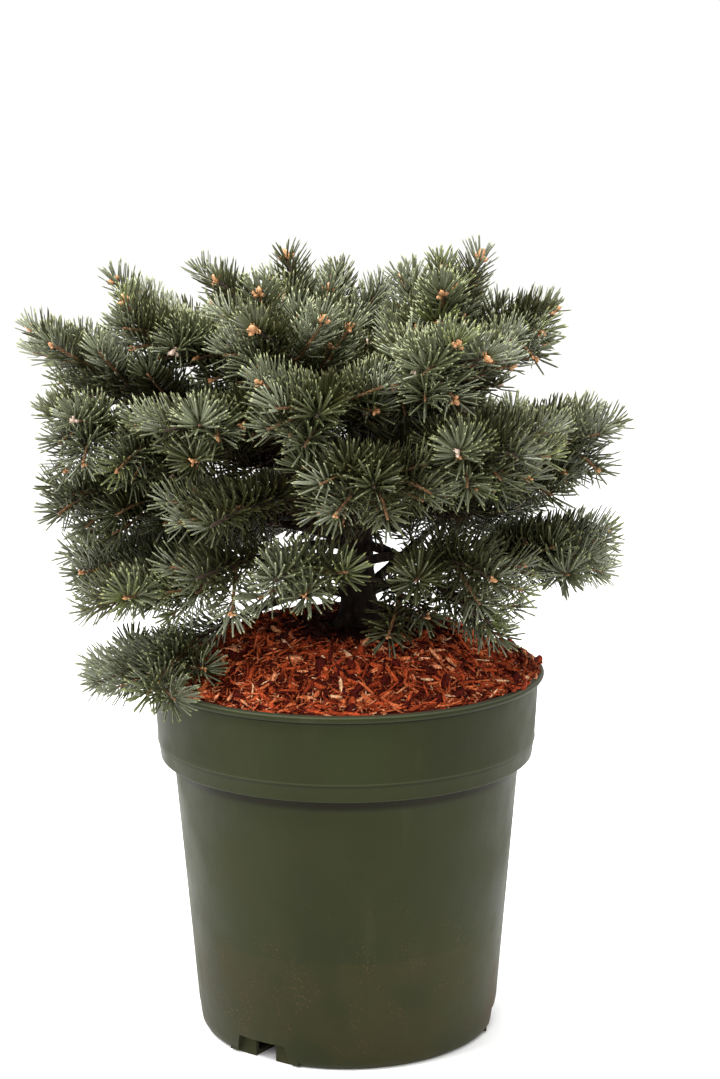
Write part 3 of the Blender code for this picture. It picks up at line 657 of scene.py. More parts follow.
# Splinters near the trunk all take the near-black tone, as painted shade under the crown.
painted_trunk_shade = np.hypot(centres[:, 0] - 0.010, centres[:, 1]) < splinter_rng.uniform(0.035, 0.075, SPLINTERS)
tone_of = np.where(painted_trunk_shade, 0, tone_of)
for index, (name, code, _) in enumerate(SPLINTER_TONES):
    finish = bark_tone_finish(name, code)
    for word, outline in (("fibres", FIBRE_RINGS), ("chips", CHIP_RINGS)):
        chosen = (tone_of == index) & ((kind == 0) == (word == "fibres"))
        points, faces = splinter_arrays(centres[chosen], headings[chosen], ups[chosen],
                                        lengths[chosen], widths[chosen], outline, splinter_rng)
        piece = f"mulch_{word}_{name}"
        add_piece(piece, mesh_from_arrays(piece, points, faces), finish)
add_piece("mulch_bed", bed_mesh, bark_tone_finish("bed", "471409"), ["bark_mulch"])
bed_mesh.materials.append(bark_tone_finish("shaded_bed", "240a06"))
for face in bed_mesh.polygons:
    face.material_index = int((face.center.xy - Vector((0.010, 0.0))).length < 0.060)

# %% [markdown]
# Now the plant. Its skeleton is a plan before it is a shape: where each bough leaves the
# trunk, which way it points, how far it reaches and how steeply its last shoot climbs. The
# tiers below are the same plan that the solids were built from, so what grows here fills the
# same places. Bearings go round the pot, and 270 degrees faces the viewer.

# %% Plan of the tiers
Tier = namedtuple("Tier", "leave thickness twigs boughs")
Bough = namedtuple("Bough", "name bearing reach height pitch")

TIERS = (
    Tier(0.312, 0.0074, 4, (
        Bough("over_rim", 198, 0.190, 0.264, -14),
        Bough("low_left", 180, 0.203, 0.342, 4),
        Bough("low_front", 250, 0.162, 0.355, -4),
        Bough("low_right", 357, 0.173, 0.359, 4),
        Bough("low_back_right", 52, 0.176, 0.372, 10),
    )),
    Tier(0.334, 0.0074, 4, (
        Bough("low_left_front", 204, 0.196, 0.328, -4),
        Bough("low_front_left", 231, 0.170, 0.352, -4),
        Bough("low_front_right", 303, 0.158, 0.350, -12),
        Bough("low_right_front", 315, 0.123, 0.311, -14),
        Bough("low_back", 98, 0.178, 0.376, 10),
        Bough("low_back_left", 140, 0.186, 0.352, 4),
    )),
    Tier(0.357, 0.0072, 4, (
        Bough("middle_left", 184, 0.214, 0.394, 6),
        Bough("middle_front", 273, 0.168, 0.428, 4),
        Bough("middle_right", 357, 0.177, 0.434, 10),
        Bough("middle_back", 76, 0.192, 0.432, 14),
        Bough("middle_back_left", 128, 0.196, 0.436, 14),
    )),
    Tier(0.380, 0.0070, 4, (
        Bough("middle_left_high", 190, 0.214, 0.448, 18),
        Bough("middle_front_left", 237, 0.180, 0.398, 2),
        Bough("middle_front_right", 305, 0.180, 0.444, 6),
        Bough("middle_back_right", 32, 0.178, 0.424, 10),
    )),
    Tier(0.404, 0.0064, 4, (
        Bough("upper_left", 180, 0.226, 0.501, 38),
        Bough("upper_left_front", 222, 0.176, 0.456, 12),
    )),
    Tier(0.410, None, 3, (
        Bough("upper_front", 260, 0.166, 0.480, 6),
        Bough("upper_right", 350, 0.133, 0.515, 2),
        Bough("upper_back", 96, 0.130, 0.526, 38),
    )),
    Tier(0.427, None, 3, (
        Bough("upper_front_left", 240, 0.138, 0.522, 26),
        Bough("upper_front_right", 299, 0.168, 0.506, 16),
        Bough("upper_back_right", 54, 0.110, 0.533, 46),
        Bough("upper_back_left", 143, 0.168, 0.500, 24),
    )),
    Tier(0.443, None, 3, (
        Bough("top_left_outer", 178, 0.168, 0.533, 58),
        Bough("top_left", 209, 0.108, 0.541, 40),
        Bough("top_middle", 157, 0.054, 0.547, 70),
        Bough("top_right", 332, 0.092, 0.552, 72),
    )),
    Tier(0.322, None, 2, (
        Bough("low_shoot", 301, 0.088, 0.313, -20),
    )),
)
print(sum(len(tier.boughs) for tier in TIERS), "limbs in", len(TIERS), "tiers")

# %% [markdown]
# The trunk is short, leans a little and flares at the ground. Each limb leaves it nearly
# level, rises a little and ends on the pitch of its last shoot. A Bezier curve says exactly
# that with two end points and two directions, so one formula draws every limb. The lower
# part is the woody bough, and the rest is the stem that carries the foliage.

# %% Lines of the trunk and the limbs
GROUND = MULCH_CROWN_HEIGHT + GAP
TRUNK_FOOT = (0.0100, 0.0000)
TRUNK_LEAN = (0.0060, 0.0080)
TRUNK_HEIGHT = 0.1800
TRUNK_BEND = 0.0022
TRUNK_RADIUS = 0.0120
TRUNK_TIP_RADIUS = 0.0042
FLARE_RADIUS = 0.0150
FLARE_HEIGHT = 0.0140
BOUGH_SHARE = 0.42
BOUGH_STAGGER = 0.0110
BOUGH_RINGS = 4
STEM_STEPS = 6
Run = namedtuple("Run", "name bough stem thickness twigs")


def trunk_point(height):
    """Centre of the trunk at a height above the floor."""
    share = (height - GROUND) / TRUNK_HEIGHT
    bend = math.sin(math.pi * share) * TRUNK_BEND
    return Vector((TRUNK_FOOT[0] + TRUNK_LEAN[0] * share * share - bend,
                   TRUNK_FOOT[1] + TRUNK_LEAN[1] * share + bend, height))


def trunk_radius(height):
    share = min(max((height - GROUND) / TRUNK_HEIGHT, 0.0), 1.0)
    plain = TRUNK_RADIUS + (TRUNK_TIP_RADIUS - TRUNK_RADIUS) * share ** 1.6
    return plain + (FLARE_RADIUS - TRUNK_RADIUS) * math.exp(-(height - GROUND) / FLARE_HEIGHT)


def bezier(a, b, c, d, share):
    rest = 1.0 - share
    return a * rest ** 3 + b * 3 * rest * rest * share + c * 3 * rest * share ** 2 + d * share ** 3


def limb_curve(spec, leave):
    """One smooth sweep from the trunk to the tip of the last shoot."""
    start = trunk_point(leave)
    end = Vector((*TRUNK_FOOT, 0.0)) + polar(spec.bearing, spec.reach, spec.height)
    length = (end - start).length
    out = polar(spec.bearing, 1.0)
    rise = math.radians(spec.pitch)
    last = out * math.cos(rise) + Vector((0.0, 0.0, math.sin(rise)))
    first = (out + Vector((0.0, 0.0, 0.35))).normalized()
    return lambda share: bezier(
        start, start + first * length * 0.30, end - last * length * 0.34, end, share)


def stem_points(curve, start):
    points = [curve(start + (1.0 - start) * i / STEM_STEPS) for i in range(STEM_STEPS + 1)]
    onward = (points[1] - points[0]).normalized()
    points[0] = points[0] + onward * GAP
    return points


def plan_runs():
    """The run of every bough and of the stem of every mass."""
    runs = []
    for tier in TIERS:
        for order, spec in enumerate(sorted(tier.boughs, key=lambda bough: bough.bearing)):
            curve = limb_curve(spec, tier.leave + BOUGH_STAGGER * (order % 2))
            if tier.thickness is None:
                runs.append(Run(spec.name, None, stem_points(curve, 0.0), 0.0, tier.twigs))
                continue
            bough = [curve(BOUGH_SHARE * i / (BOUGH_RINGS - 1)) for i in range(BOUGH_RINGS)]
            runs.append(Run(spec.name, bough, stem_points(curve, BOUGH_SHARE),
                            tier.thickness, tier.twigs))
    return runs


runs = plan_runs()
print(sum(1 for run in runs if run.bough), "boughs and", len(runs), "stems")

# %% [markdown]
# Branches share light, so each keeps to its own room. The test below does the same: a point
# belongs to the stem that is nearest, must stay clear of the limbs, and stays above the bark.
# It is what keeps the twigs from growing through each other.

# %% Room of each branch
SPACE_GAP = 0.0011
LIMB_CLEARANCE = 0.0020
GROUND_CLEARANCE = 0.0030
RIM_CLEARANCE = 0.0030
RIM_WIDTH = 0.0100
CROWN_TOP = 0.5660
CROWN_FOOT = 0.2420
TRUNK_SHARES = (0.0, 0.05, 0.11, 0.2, 0.35, 0.5, 0.65, 0.8, 0.92, 1.0)


def segments(lines):
    """Start points and end points of every step of some lines, as two arrays."""
    starts = np.array([a for line in lines for a in line[:-1]])
    ends = np.array([b for line in lines for b in line[1:]])
    return starts, ends


def distances(point, starts, ends):
    along = ends - starts
    to_point = np.array(point) - starts
    share = np.clip((to_point * along).sum(1) / (along * along).sum(1), 0.0, 1.0)
    return np.linalg.norm(to_point - along * share[:, None], axis=1)


STEMS = segments([run.stem for run in runs])
STEM_OWNERS = np.repeat(np.arange(len(runs)), STEM_STEPS)
TRUNK_HEIGHTS = [GROUND + TRUNK_HEIGHT * share for share in TRUNK_SHARES]
LIMBS = segments([run.bough for run in runs if run.bough]
                 + [[trunk_point(height) for height in TRUNK_HEIGHTS]])
LIMB_RADII = np.array([run.thickness / 2 for run in runs if run.bough for _ in run.bough[:-1]]
                      + [trunk_radius(height) for height in TRUNK_HEIGHTS[:-1]])


def is_own(point, index, margin):
    away = distances(point, *STEMS)
    own = away[STEM_OWNERS == index].min()
    return own + 2 * (SPACE_GAP + margin) < away[STEM_OWNERS != index].min()


def is_clear(point, margin):
    return (distances(point, *LIMBS) - LIMB_RADII).min() > LIMB_CLEARANCE + margin


def is_above_pot(point, margin):
    radius = math.hypot(point[0], point[1])
    if radius > LIP_RADIUS + RIM_CLEARANCE + margin:
        return True
    floor = mulch_height(radius) + MULCH_BUMP
    if radius > LIP_RADIUS - RIM_WIDTH:
        floor = max(floor, LIP_TOP)
    return point[2] > floor + GROUND_CLEARANCE + margin


def fits(point, index, margin=0.0):
    return (CROWN_FOOT < point[2] < CROWN_TOP and is_own(point, index, margin)
            and is_clear(point, margin) and is_above_pot(point, margin))


# %% [markdown]
# Twigs leave a stem at about half a right angle, each turned by the golden angle from the
# one before, as buds are, and they tip upwards as they grow. The first few are the main
# twigs, which the solids have too, so the same seeded draws are made in the same order.

# %% Main twigs
TWIG_RADIUS = 0.0026
TWIG_LENGTH = 0.062
TWIG_STEPS = 4
TWIG_LENGTHS = (0.86, 1.10)
LATER_TWIG = 0.72
TWIG_SPREAD = 46.0
SPREAD_JITTER = (-6.0, 8.0)
TWIG_LOWEST = 0.22
TWIG_RANGE = 0.50
TWIG_PLACES = 7
PLACE_JITTER = 0.03
TWIG_APART = 0.030
TWIG_UPTURN = 0.05
TWIG_FLATNESS = 0.42
TWIG_RISE = 0.009
INNER_RISE = 0.036
STEEP_RISE = 0.050
TIP_RISE = 0.004
TWIG_DROOP = 0.034
TWIG_TRIES = 21
GOLDEN_ANGLE = 137.5
SEED = 41


def side_frame(direction):
    """Two directions square to a twig, the first as level as can be."""
    flat = direction.cross(Vector((0.0, 0.0, 1.0)))
    if flat.length < 0.05:
        flat = Vector((1.0, 0.0, 0.0))
    flat.normalize()
    return flat, flat.cross(direction).normalized()


def twig_points(start, direction, length, steps, upturn=TWIG_UPTURN):
    """A twig that turns up a little towards its tip, or down where upturn is below zero."""
    points = [start.copy()]
    heading = direction.normalized()
    for _ in range(steps):
        heading = (heading + Vector((0.0, 0.0, upturn))).normalized()
        points.append(points[-1] + heading * length / steps)
    return points


def branch_start(line, share):
    """The point at a share of a line's steps, and the line's direction there."""
    place = share * (len(line) - 1)
    joint = min(int(place), len(line) - 2)
    a, b = line[joint], line[joint + 1]
    return a + (b - a) * (place - joint), (b - a).normalized()


def side_heading(onward, turn, spread):
    """A direction that leaves a line at a spread. Round a level line it stays near level."""
    flat, up = side_frame(onward)
    roll = math.radians(turn)
    upper = TWIG_FLATNESS + (1.0 - TWIG_FLATNESS) * onward.z * onward.z
    outward = flat * math.cos(roll) + up * math.sin(roll) * upper
    return onward * math.cos(spread) + outward.normalized() * math.sin(spread)


def stem_height(point, run):
    """How high a branch's stem is where it is as far from the trunk's foot as the point."""
    radii = [(place.xy - Vector(TRUNK_FOOT)).length for place in run.stem]
    return np.interp((point.xy - Vector(TRUNK_FOOT)).length, radii, [place.z for place in run.stem])


def within_reach(point, run):
    """Whether a point is no further out than its stem's tip, and not far above or below the stem."""
    tip = run.stem[-1]
    share = (point.xy - Vector(TRUNK_FOOT)).length / (tip.xy - Vector(TRUNK_FOOT)).length
    steep = (tip - run.stem[-2]).normalized().z
    beside = stem_height(point, run)
    rise = TWIG_RISE + INNER_RISE * (1.0 - share) + STEEP_RISE * max(steep, 0.0) ** 6
    highest = max(min(beside + rise, tip.z), beside + TIP_RISE)
    return share < 1.0 and beside - TWIG_DROOP < point.z < highest


def plan_twigs(run, index):
    rng = random.Random(SEED + index)
    turn = rng.uniform(0.0, 360.0)
    twigs = []
    for attempt in range(TWIG_TRIES):
        share = TWIG_LOWEST + TWIG_RANGE * (attempt % TWIG_PLACES) / (TWIG_PLACES - 1)
        share += rng.uniform(-PLACE_JITTER, PLACE_JITTER)
        turn += GOLDEN_ANGLE
        length = TWIG_LENGTH * rng.uniform(*TWIG_LENGTHS)
        if attempt >= TWIG_PLACES:
            length *= LATER_TWIG
        spread = math.radians(TWIG_SPREAD + rng.uniform(*SPREAD_JITTER))
        start, onward = branch_start(run.stem, share)
        points = twig_points(start, side_heading(onward, turn, spread), length, TWIG_STEPS)
        free = all(fits(point, index, TWIG_RADIUS) for point in points[2:])
        free = free and within_reach(points[-1], run)
        apart = all((points[-1] - other[-1]).length > TWIG_APART for other in twigs)
        if free and apart and len(twigs) < run.twigs:
            twigs.append(points)
    return twigs


main_twigs = [plan_twigs(run, index) for index, run in enumerate(runs)]
print(sum(len(twigs) for twigs in main_twigs), "main twigs")

# %% [markdown]
# The solids stop at the main twigs, but the real crown is full because every stem forks again
# and again. The same rule goes on here with finer, shorter twigs: more along each stem, and
# a few along each main twig. They keep to the branch's room and to the reach of the solids.
# Each shoot also remembers which branch it belongs to.

# %% Finer twigs
STEM_SHOOTS = 12
STEM_SHOOT_TRIES = 360
SIDE_SHOOTS = 3
SIDE_SHOOT_TRIES = 70
INNER_SHOOTS = 8
INNER_SHOOT_TRIES = 150
INNER_SHOOT_LENGTH = 0.040
INNER_FOOT = 0.350
SIGHT_SLOPE = 0.19
INNER_RADIUS = 0.105
SHOOT_LENGTH = 0.056
SIDE_SHOOT_LENGTH = 0.044
LOW_TIERS = 0.362
STEEP_STEM = 0.7
DROOPS = ((0.013, 0.040), (0.022, 0.008))
WINDOW = (262, 304)
WINDOW_TOP = 0.374
HANG = 0.022
FRONT_UPTURN = ((-0.50, 0.06), (-0.10, 0.16))
THIN_BRANCHES = ("low_back_right",)
THINNING = 3
STRAIGHT_AHEAD = 0.60
AHEAD_SHARE = 0.25
Shoot = namedtuple("Shoot", "points thick thin bare branch rank")


def finer_twigs(line, index, rng, wanted, tries, length, shares, apart, taken):
    """Short twigs along a line, kept where there is room and no other tip close by."""
    found = []
    run = runs[index]
    wanted = wanted // THINNING if run.name in THIN_BRANCHES else wanted
    steep = (run.stem[-1] - run.stem[-2]).normalized().z > STEEP_STEM
    turn = rng.uniform(0.0, 360.0)
    for attempt in range(tries):
        turn += GOLDEN_ANGLE
        share = rng.uniform(*shares)
        size = length * rng.uniform(0.75, 1.20) * (1.15 - 0.35 * share)
        spread = math.radians(rng.uniform(38.0, 58.0))
        start, onward = branch_start(line, share)
        heading = side_heading(onward, turn, spread)
        upturn = rng.uniform(*FRONT_UPTURN[start.z < LOW_TIERS]) * facing(heading) + rng.uniform(0.0, 0.10)
        points = twig_points(start, heading, size, 4, upturn)
        tip = points[-1]
        if not within_reach(tip, run) or (steep and tip.z > stem_height(tip, run)):
            continue
        inner = (tip.xy - Vector(TRUNK_FOOT)).length < INNER_RADIUS and tip.z > LOW_TIERS
        bearing = math.degrees(math.atan2(tip.y, tip.x - TRUNK_FOOT[0])) % 360
        if tip.z < WINDOW_TOP and WINDOW[0] < bearing < WINDOW[1]:
            continue
        side_droop, front_droop = DROOPS[start.z < LOW_TIERS]
        droop = side_droop + (front_droop - side_droop) * facing(heading)
        if not inner and tip.z < start.z - droop:
            continue
        if facing((points[-1] - points[-2]).normalized()) > STRAIGHT_AHEAD and rng.random() > AHEAD_SHARE:
            continue
        if not all(fits(point, index, 0.0006) for point in points[1:]):
            continue
        if all((points[-1] - tip).length > apart for tip in taken) and len(found) < wanted:
            found.append(points)
            taken.append(points[-1])
    return found


def facing(heading):
    """One for a heading that points to the front, none for one that points sideways or back."""
    return max(-heading.y, 0.0) ** 2


def hung(points, amount):
    """A shoot whose outer half hangs over in a curve, at the front of the plant."""
    heading = (points[-1] - points[-2]).normalized()
    drop = amount * facing(heading)
    hanging = []
    for i, point in enumerate(points):
        share = (i / (len(points) - 1)) ** 3
        hanging.append(point - Vector((heading.x, heading.y, 0.0)) * drop * share * 0.4
                       - Vector((0.0, 0.0, drop * share)))
    return hanging


def plan_shoots():
    shoots = []
    for index, run in enumerate(runs):
        rng = random.Random(900 + index)
        hang = HANG * min(max((run.stem[-1].z - LOW_TIERS) / 0.06, 0.0), 1.0)
        stem = hung(run.stem, hang * rng.uniform(0.5, 1.0))
        side_twigs = [hung(twig, hang * rng.uniform(0.3, 1.2)) for twig in main_twigs[index]]
        taken = [stem[-1]] + [twig[-1] for twig in side_twigs]
        bare = 0.020 if run.bough else 0.034
        shoots.append(Shoot(stem, 0.0022, 0.0011, bare, index, 0))
        for twig in side_twigs:
            shoots.append(Shoot(twig, 0.0015, 0.0009, 0.004, index, 1))
        for points in finer_twigs(stem, index, rng, STEM_SHOOTS, STEM_SHOOT_TRIES,
                                  SHOOT_LENGTH, (0.08, 0.92), 0.0180, taken):
            shoots.append(Shoot(points, 0.0012, 0.0008, 0.003, index, 2))
        for twig in side_twigs:
            for points in finer_twigs(twig, index, rng, SIDE_SHOOTS, SIDE_SHOOT_TRIES,
                                      SIDE_SHOOT_LENGTH, (0.20, 0.78), 0.0185, taken):
                shoots.append(Shoot(points, 0.0011, 0.0008, 0.003, index, 3))
        line, shares = (run.bough, (0.25, 0.98)) if run.bough else (run.stem, (0.10, 0.50))
        for points in finer_twigs(line, index, rng, INNER_SHOOTS, INNER_SHOOT_TRIES,
                                  INNER_SHOOT_LENGTH, shares, 0.016, taken):
            if points[-1].z > INNER_FOOT - SIGHT_SLOPE * max(points[-1].y, 0.0):
                shoots.append(Shoot(points, 0.0013, 0.0008, 0.004, index, 3))
    return shoots


def line_length(points):
    return sum((b - a).length for a, b in zip(points, points[1:]))


shoots = plan_shoots()
print(len(shoots), "shoots,", round(sum(line_length(shoot.points) for shoot in shoots), 2), "m in all")

# %% [markdown]
# The bark of the trunk and boughs is rough: dark, with scaly ridges that run lengthwise and
# wrinkles where a branch leaves. Each limb is a tube of many rings, and every point is moved
# out or in by noise that is stretched along the limb. The relief is then real geometry, and
# it shows in outline as well.

# %% Bark tubes
def smooth_line(points, steps):
    """A denser line through some points, rounded by Catmull-Rom curves."""
    line = [points[0] * 2 - points[1]] + list(points) + [points[-1] * 2 - points[-2]]
    dense = []
    for i in range(1, len(line) - 2):
        a, b, c, d = line[i - 1:i + 3]
        for step in range(steps):
            t = step / steps
            dense.append(0.5 * (2 * b + (c - a) * t + (2 * a - 5 * b + 4 * c - d) * t * t
                                + (3 * b - a - 3 * c + d) * t ** 3))
    return dense + [points[-1]]


def tube_arrays(line, radii, sides, rough=None):
    """A tube of rings along a line, with an end cap at each end."""
    points = []
    across = None
    for i, centre in enumerate(line):
        onward = (line[min(i + 1, len(line) - 1)] - line[max(i - 1, 0)]).normalized()
        if across is None:
            across = side_frame(onward)[0]
        across = (across - onward * across.dot(onward)).normalized()
        up = onward.cross(across)
        for side in range(sides):
            turn = 2 * math.pi * side / sides
            out = across * math.cos(turn) + up * math.sin(turn)
            reach = radii[i] + (rough(centre + out * radii[i], out, i, turn) if rough else 0.0)
            points.append(centre + out * reach)
    rings = len(line)
    steps = np.arange(sides)
    onward_steps = (steps + 1) % sides
    quads = [np.stack([ring * sides + steps, ring * sides + onward_steps,
                       (ring + 1) * sides + onward_steps, (ring + 1) * sides + steps], axis=1)
             for ring in range(rings - 1)]
    points += [line[0], line[-1]]
    low_cap = np.stack([onward_steps, steps, np.full(sides, rings * sides)], axis=1)
    last = (rings - 1) * sides
    high_cap = np.stack([last + steps, last + onward_steps, np.full(sides, rings * sides + 1)], axis=1)
    return np.array(points), np.concatenate(quads), np.concatenate([low_cap, high_cap])


def ridges(point, out, depth):
    """Bark relief: ridges stretched lengthwise, broken by finer scales."""
    ridge = noise.noise(Vector((point.x, point.y, point.z * 0.45)) / 0.0036 + out * 3.0)
    scale = noise.noise(point / 0.0014)
    return depth * (0.8 * abs(ridge) + 0.35 * scale)


ROOT_BEARINGS = (200.0, 290.0, 20.0, 110.0)


def trunk_rough(point, out, ring, turn):
    bearing = math.degrees(math.atan2(out.y, out.x)) % 360
    lobe = max(math.cos(math.radians(bearing - root)) for root in ROOT_BEARINGS) ** 6
    spread = 0.0075 * lobe * math.exp(-(point.z - GROUND) / 0.007)
    return spread + ridges(point, out, 0.0016)


def bough_rough(point, out, ring, turn):
    return ridges(point, out, 0.0009)


def gather(blocks):
    """Joins many (points, quads, triangles) into one set of arrays."""
    points, quads, triangles, base = [], [], [], 0
    for block_points, block_quads, block_triangles in blocks:
        points.append(block_points)
        quads.append(block_quads + base)
        triangles.append(block_triangles + base)
        base += len(block_points)
    return np.concatenate(points), [np.concatenate(quads), np.concatenate(triangles)]


def bark_blocks():
    heights = [GROUND + TRUNK_HEIGHT * i / 110 for i in range(111)]
    blocks = [tube_arrays([trunk_point(height) for height in heights],
                          [trunk_radius(height) - 0.0006 for height in heights], 44, trunk_rough)]
    for run in runs:
        if run.bough:
            line = smooth_line(run.bough, 16)
            radii = np.linspace(run.thickness / 2, 0.0026, len(line))
            blocks.append(tube_arrays(line, radii, 16, bough_rough))
    return blocks


bark_mesh = mesh_from_arrays("bark", *gather(bark_blocks()))
bark_mesh.shade_smooth()

# %% [markdown]
# Bark colour: dark grey-brown, paler on the tops of the ridges and nearly black in the
# cracks, with a breath of green algae. Young shoots are another thing: fresh orange-brown
# wood with a slight shine. So there are two finishes, and old wood passes into young wood
# from one tube to the next.

# %% Finish of the bark
def bark_finish():
    finish = new_finish("trunk_bark", shade("2a1f19"), 0.92)
    coarse = pattern(finish, "ShaderNodeTexNoise", 260, (1, 1, 0.4), Detail=6.0)
    color = ramp(finish, coarse, (0.32, shade("0b0705")), (0.55, shade("1d1410")), (0.75, shade("382c24")))
    algae = pattern(finish, "ShaderNodeTexNoise", 55, Detail=3.0)
    color = blend(finish, level(finish, algae, 0.56, 0.74, 0.0, 0.18), color, shade("2c2c1e"))
    paint(finish, color)
    socket(finish, "Specular IOR Level").default_value = 0.12
    relief(finish, coarse, 0.0008)
    return finish


def wood_finish(name, dark, light, roughness):
    finish = new_finish(name, shade(light), roughness)
    grain = pattern(finish, "ShaderNodeTexNoise", 500, Detail=4.0)
    paint(finish, ramp(finish, grain, (0.30, shade(dark)), (0.70, shade(light))))
    relief(finish, grain, 0.0003)
    return finish


old_wood = [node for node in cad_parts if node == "trunk" or node.startswith("bough_")]
add_piece("bark", bark_mesh, bark_finish(), old_wood)

# %% [markdown]
# Each shoot is a slim tube of its own. Older shoots near the trunk are dark, and the last
# growths are orange-brown, so two meshes hold them all.

# %% Twig tubes
def shoot_blocks(ranks):
    blocks = []
    for shoot in shoots:
        if shoot.rank in ranks:
            line = smooth_line(shoot.points, 2)
            radii = np.linspace(shoot.thick, shoot.thin, len(line))
            blocks.append(tube_arrays(line, radii, 6 if shoot.rank < 2 else 5))
    return blocks


stem_mesh = mesh_from_arrays("stems", *gather(shoot_blocks((0,))))
twig_mesh = mesh_from_arrays("twigs", *gather(shoot_blocks((1, 2, 3))))
stem_mesh.shade_smooth()
twig_mesh.shade_smooth()
add_piece("stems", stem_mesh, wood_finish("older_wood", "20160f", "43301f", 0.8))
add_piece("twigs", twig_mesh, wood_finish("young_wood", "4a3019", "86603a", 0.7))

# %% [markdown]
# A fir needle is flat, blunt, about two centimetres long, with a keel underneath. It sits on
# a small round foot, leaves the shoot sideways and then curves up and forward. On the upper
# side of a shoot they stand like the teeth of a comb, on the lower side they part to the
# left and right, and round the bud they close in to a rosette. One formula with the roll
# round the shoot and the distance to the tip gives all of that.

# %% Where needles sit
NEEDLES_A_METRE = 1960
NEEDLE_LENGTH = 0.0222
NEEDLE_WIDTH = 0.00165
NEEDLE_KEEL = 0.0008


def unit(vectors):
    return vectors / np.linalg.norm(vectors, axis=1)[:, None]


def needle_rows(shoot, rng):
    """Foot, heading, shoot direction, length and distance to the tip of each needle."""
    line = np.array(shoot.points)
    steps = np.linalg.norm(np.diff(line, axis=0), axis=1)
    along = np.concatenate([[0.0], np.cumsum(steps)])
    covered = along[-1] - shoot.bare
    count = max(int(covered * NEEDLES_A_METRE), 6)
    where = shoot.bare + covered * (np.arange(count) + rng.uniform(0.2, 0.8, count)) / count
    feet = np.stack([np.interp(where, along, line[:, axis]) for axis in range(3)], axis=1)
    joint = np.clip(np.searchsorted(along, where) - 1, 0, len(steps) - 1)
    onward = unit(np.diff(line, axis=0))[joint]
    to_tip = along[-1] - where
    flat = np.cross(onward, (0.0, 0.0, 1.0))
    steep = np.linalg.norm(flat, axis=1) < 0.05
    flat[steep] = (1.0, 0.0, 0.0)
    flat = unit(flat)
    up = np.cross(flat, onward)
    roll = np.radians(GOLDEN_ANGLE) * np.arange(count) + rng.uniform(-0.18, 0.18, count)
    level = np.sqrt(1.0 - onward[:, 2] ** 2)
    sunlit = np.clip((feet[:, 2] - 0.34) / 0.14, 0.0, 1.0)
    sine = np.sin(roll)
    sine = np.where(sine < 0, sine * (1.0 - level * (0.35 + 0.45 * sunlit)), sine)
    outward = unit(flat * np.cos(roll)[:, None] + up * sine[:, None])
    forward = 0.40 + 0.75 * np.exp(-to_tip / 0.007) + rng.normal(0, 0.06, count)
    heading = outward + onward * forward[:, None]
    heading[:, 2] += level * (0.04 + 0.50 * sunlit)
    heading = unit(heading + rng.normal(0, 0.050, heading.shape))
    early = np.clip((where - shoot.bare) / 0.010, 0.0, 1.0)
    frontal = facing((shoot.points[-1] - shoot.points[-2]).normalized())
    lengths = NEEDLE_LENGTH * (0.88 + 0.16 * frontal) * (0.72 + 0.28 * early)
    lengths *= rng.uniform(0.86, 1.08, count)
    lengths *= 1.0 - 0.28 * np.exp(-to_tip / 0.006)
    return feet, heading, onward, up, lengths, to_tip


# %% Shape of the needles
NEEDLE_RINGS = (0.40, 0.90)
NEEDLE_GIRTH = (1.00, 0.82)
NEEDLE_POINTS = 8
UPPER_FACE, UNDERSIDE, TIP = 0, 1, 2


def needle_arrays(feet, heading, onward, up, lengths, rng):
    """Points, triangles and finish numbers of many needles: a foot, two rings with a keel, a tip."""
    count = len(feet)
    across = unit(np.cross(onward, heading))
    face = np.cross(heading, across)
    twist = rng.normal(0.0, 0.22, count)[:, None]
    across, face = across * np.cos(twist) + face * np.sin(twist), face * np.cos(twist) - across * np.sin(twist)
    bow = (onward * 0.16 + up * 0.14) * lengths[:, None]
    points = np.empty((count, NEEDLE_POINTS, 3))
    points[:, 0] = feet
    for ring, (place, girth) in enumerate(zip(NEEDLE_RINGS, NEEDLE_GIRTH)):
        middle = feet + heading * (lengths * place)[:, None] + bow * place ** 2
        points[:, ring * 3 + 1] = middle + across * NEEDLE_WIDTH * girth / 2
        points[:, ring * 3 + 2] = middle - across * NEEDLE_WIDTH * girth / 2
        points[:, ring * 3 + 3] = middle - face * NEEDLE_KEEL * girth
    points[:, 7] = feet + heading * lengths[:, None] + bow - face * NEEDLE_KEEL * 0.3
    rows, finishes = [], []
    for a, b in ((1, 2), (2, 3), (3, 1)):
        skin = UPPER_FACE if a == 1 else UNDERSIDE
        rows += [(0, b, a), (a, b, b + 3), (a, b + 3, a + 3), (a + 3, b + 3, 7)]
        finishes += [skin, skin, skin, TIP]
    triangles = (np.arange(count) * NEEDLE_POINTS)[:, None, None] + np.array(rows)[None]
    return points.reshape(-1, 3), triangles.reshape(-1, 3), np.tile(finishes, count)


# %% [markdown]
# Colour is dealt out by spray. Shoots deep in the crown are a dull dark green, those on the
# outside carry the blue-grey bloom of the kind, and some are yellower where they are young.
# Each colour is one plain finish, and all needles of one colour are one mesh, because a
# pattern would not keep its place on a mesh of so many pieces.

# %% Colours of the needles
NEEDLE_TONES = {
    "deep": ("33281a", "3b2e1c", "403422"),
    "dark": ("2f3018", "393921", "404125"),
    "green": ("3c4023", "505331", "666939"),
    "blue": ("494e33", "676c54", "7b8055"),
    "bloom": ("61664d", "82876f", "91946d"),
    "fresh": ("4f562c", "676c42", "848949"),
}
SHADED_TONES = ("deep", "dark")
CROWN_MIDDLE = Vector((0.0, 0.0, 0.40))
CROWN_REACH = 0.20
CROWN_FLATNESS = 1.6


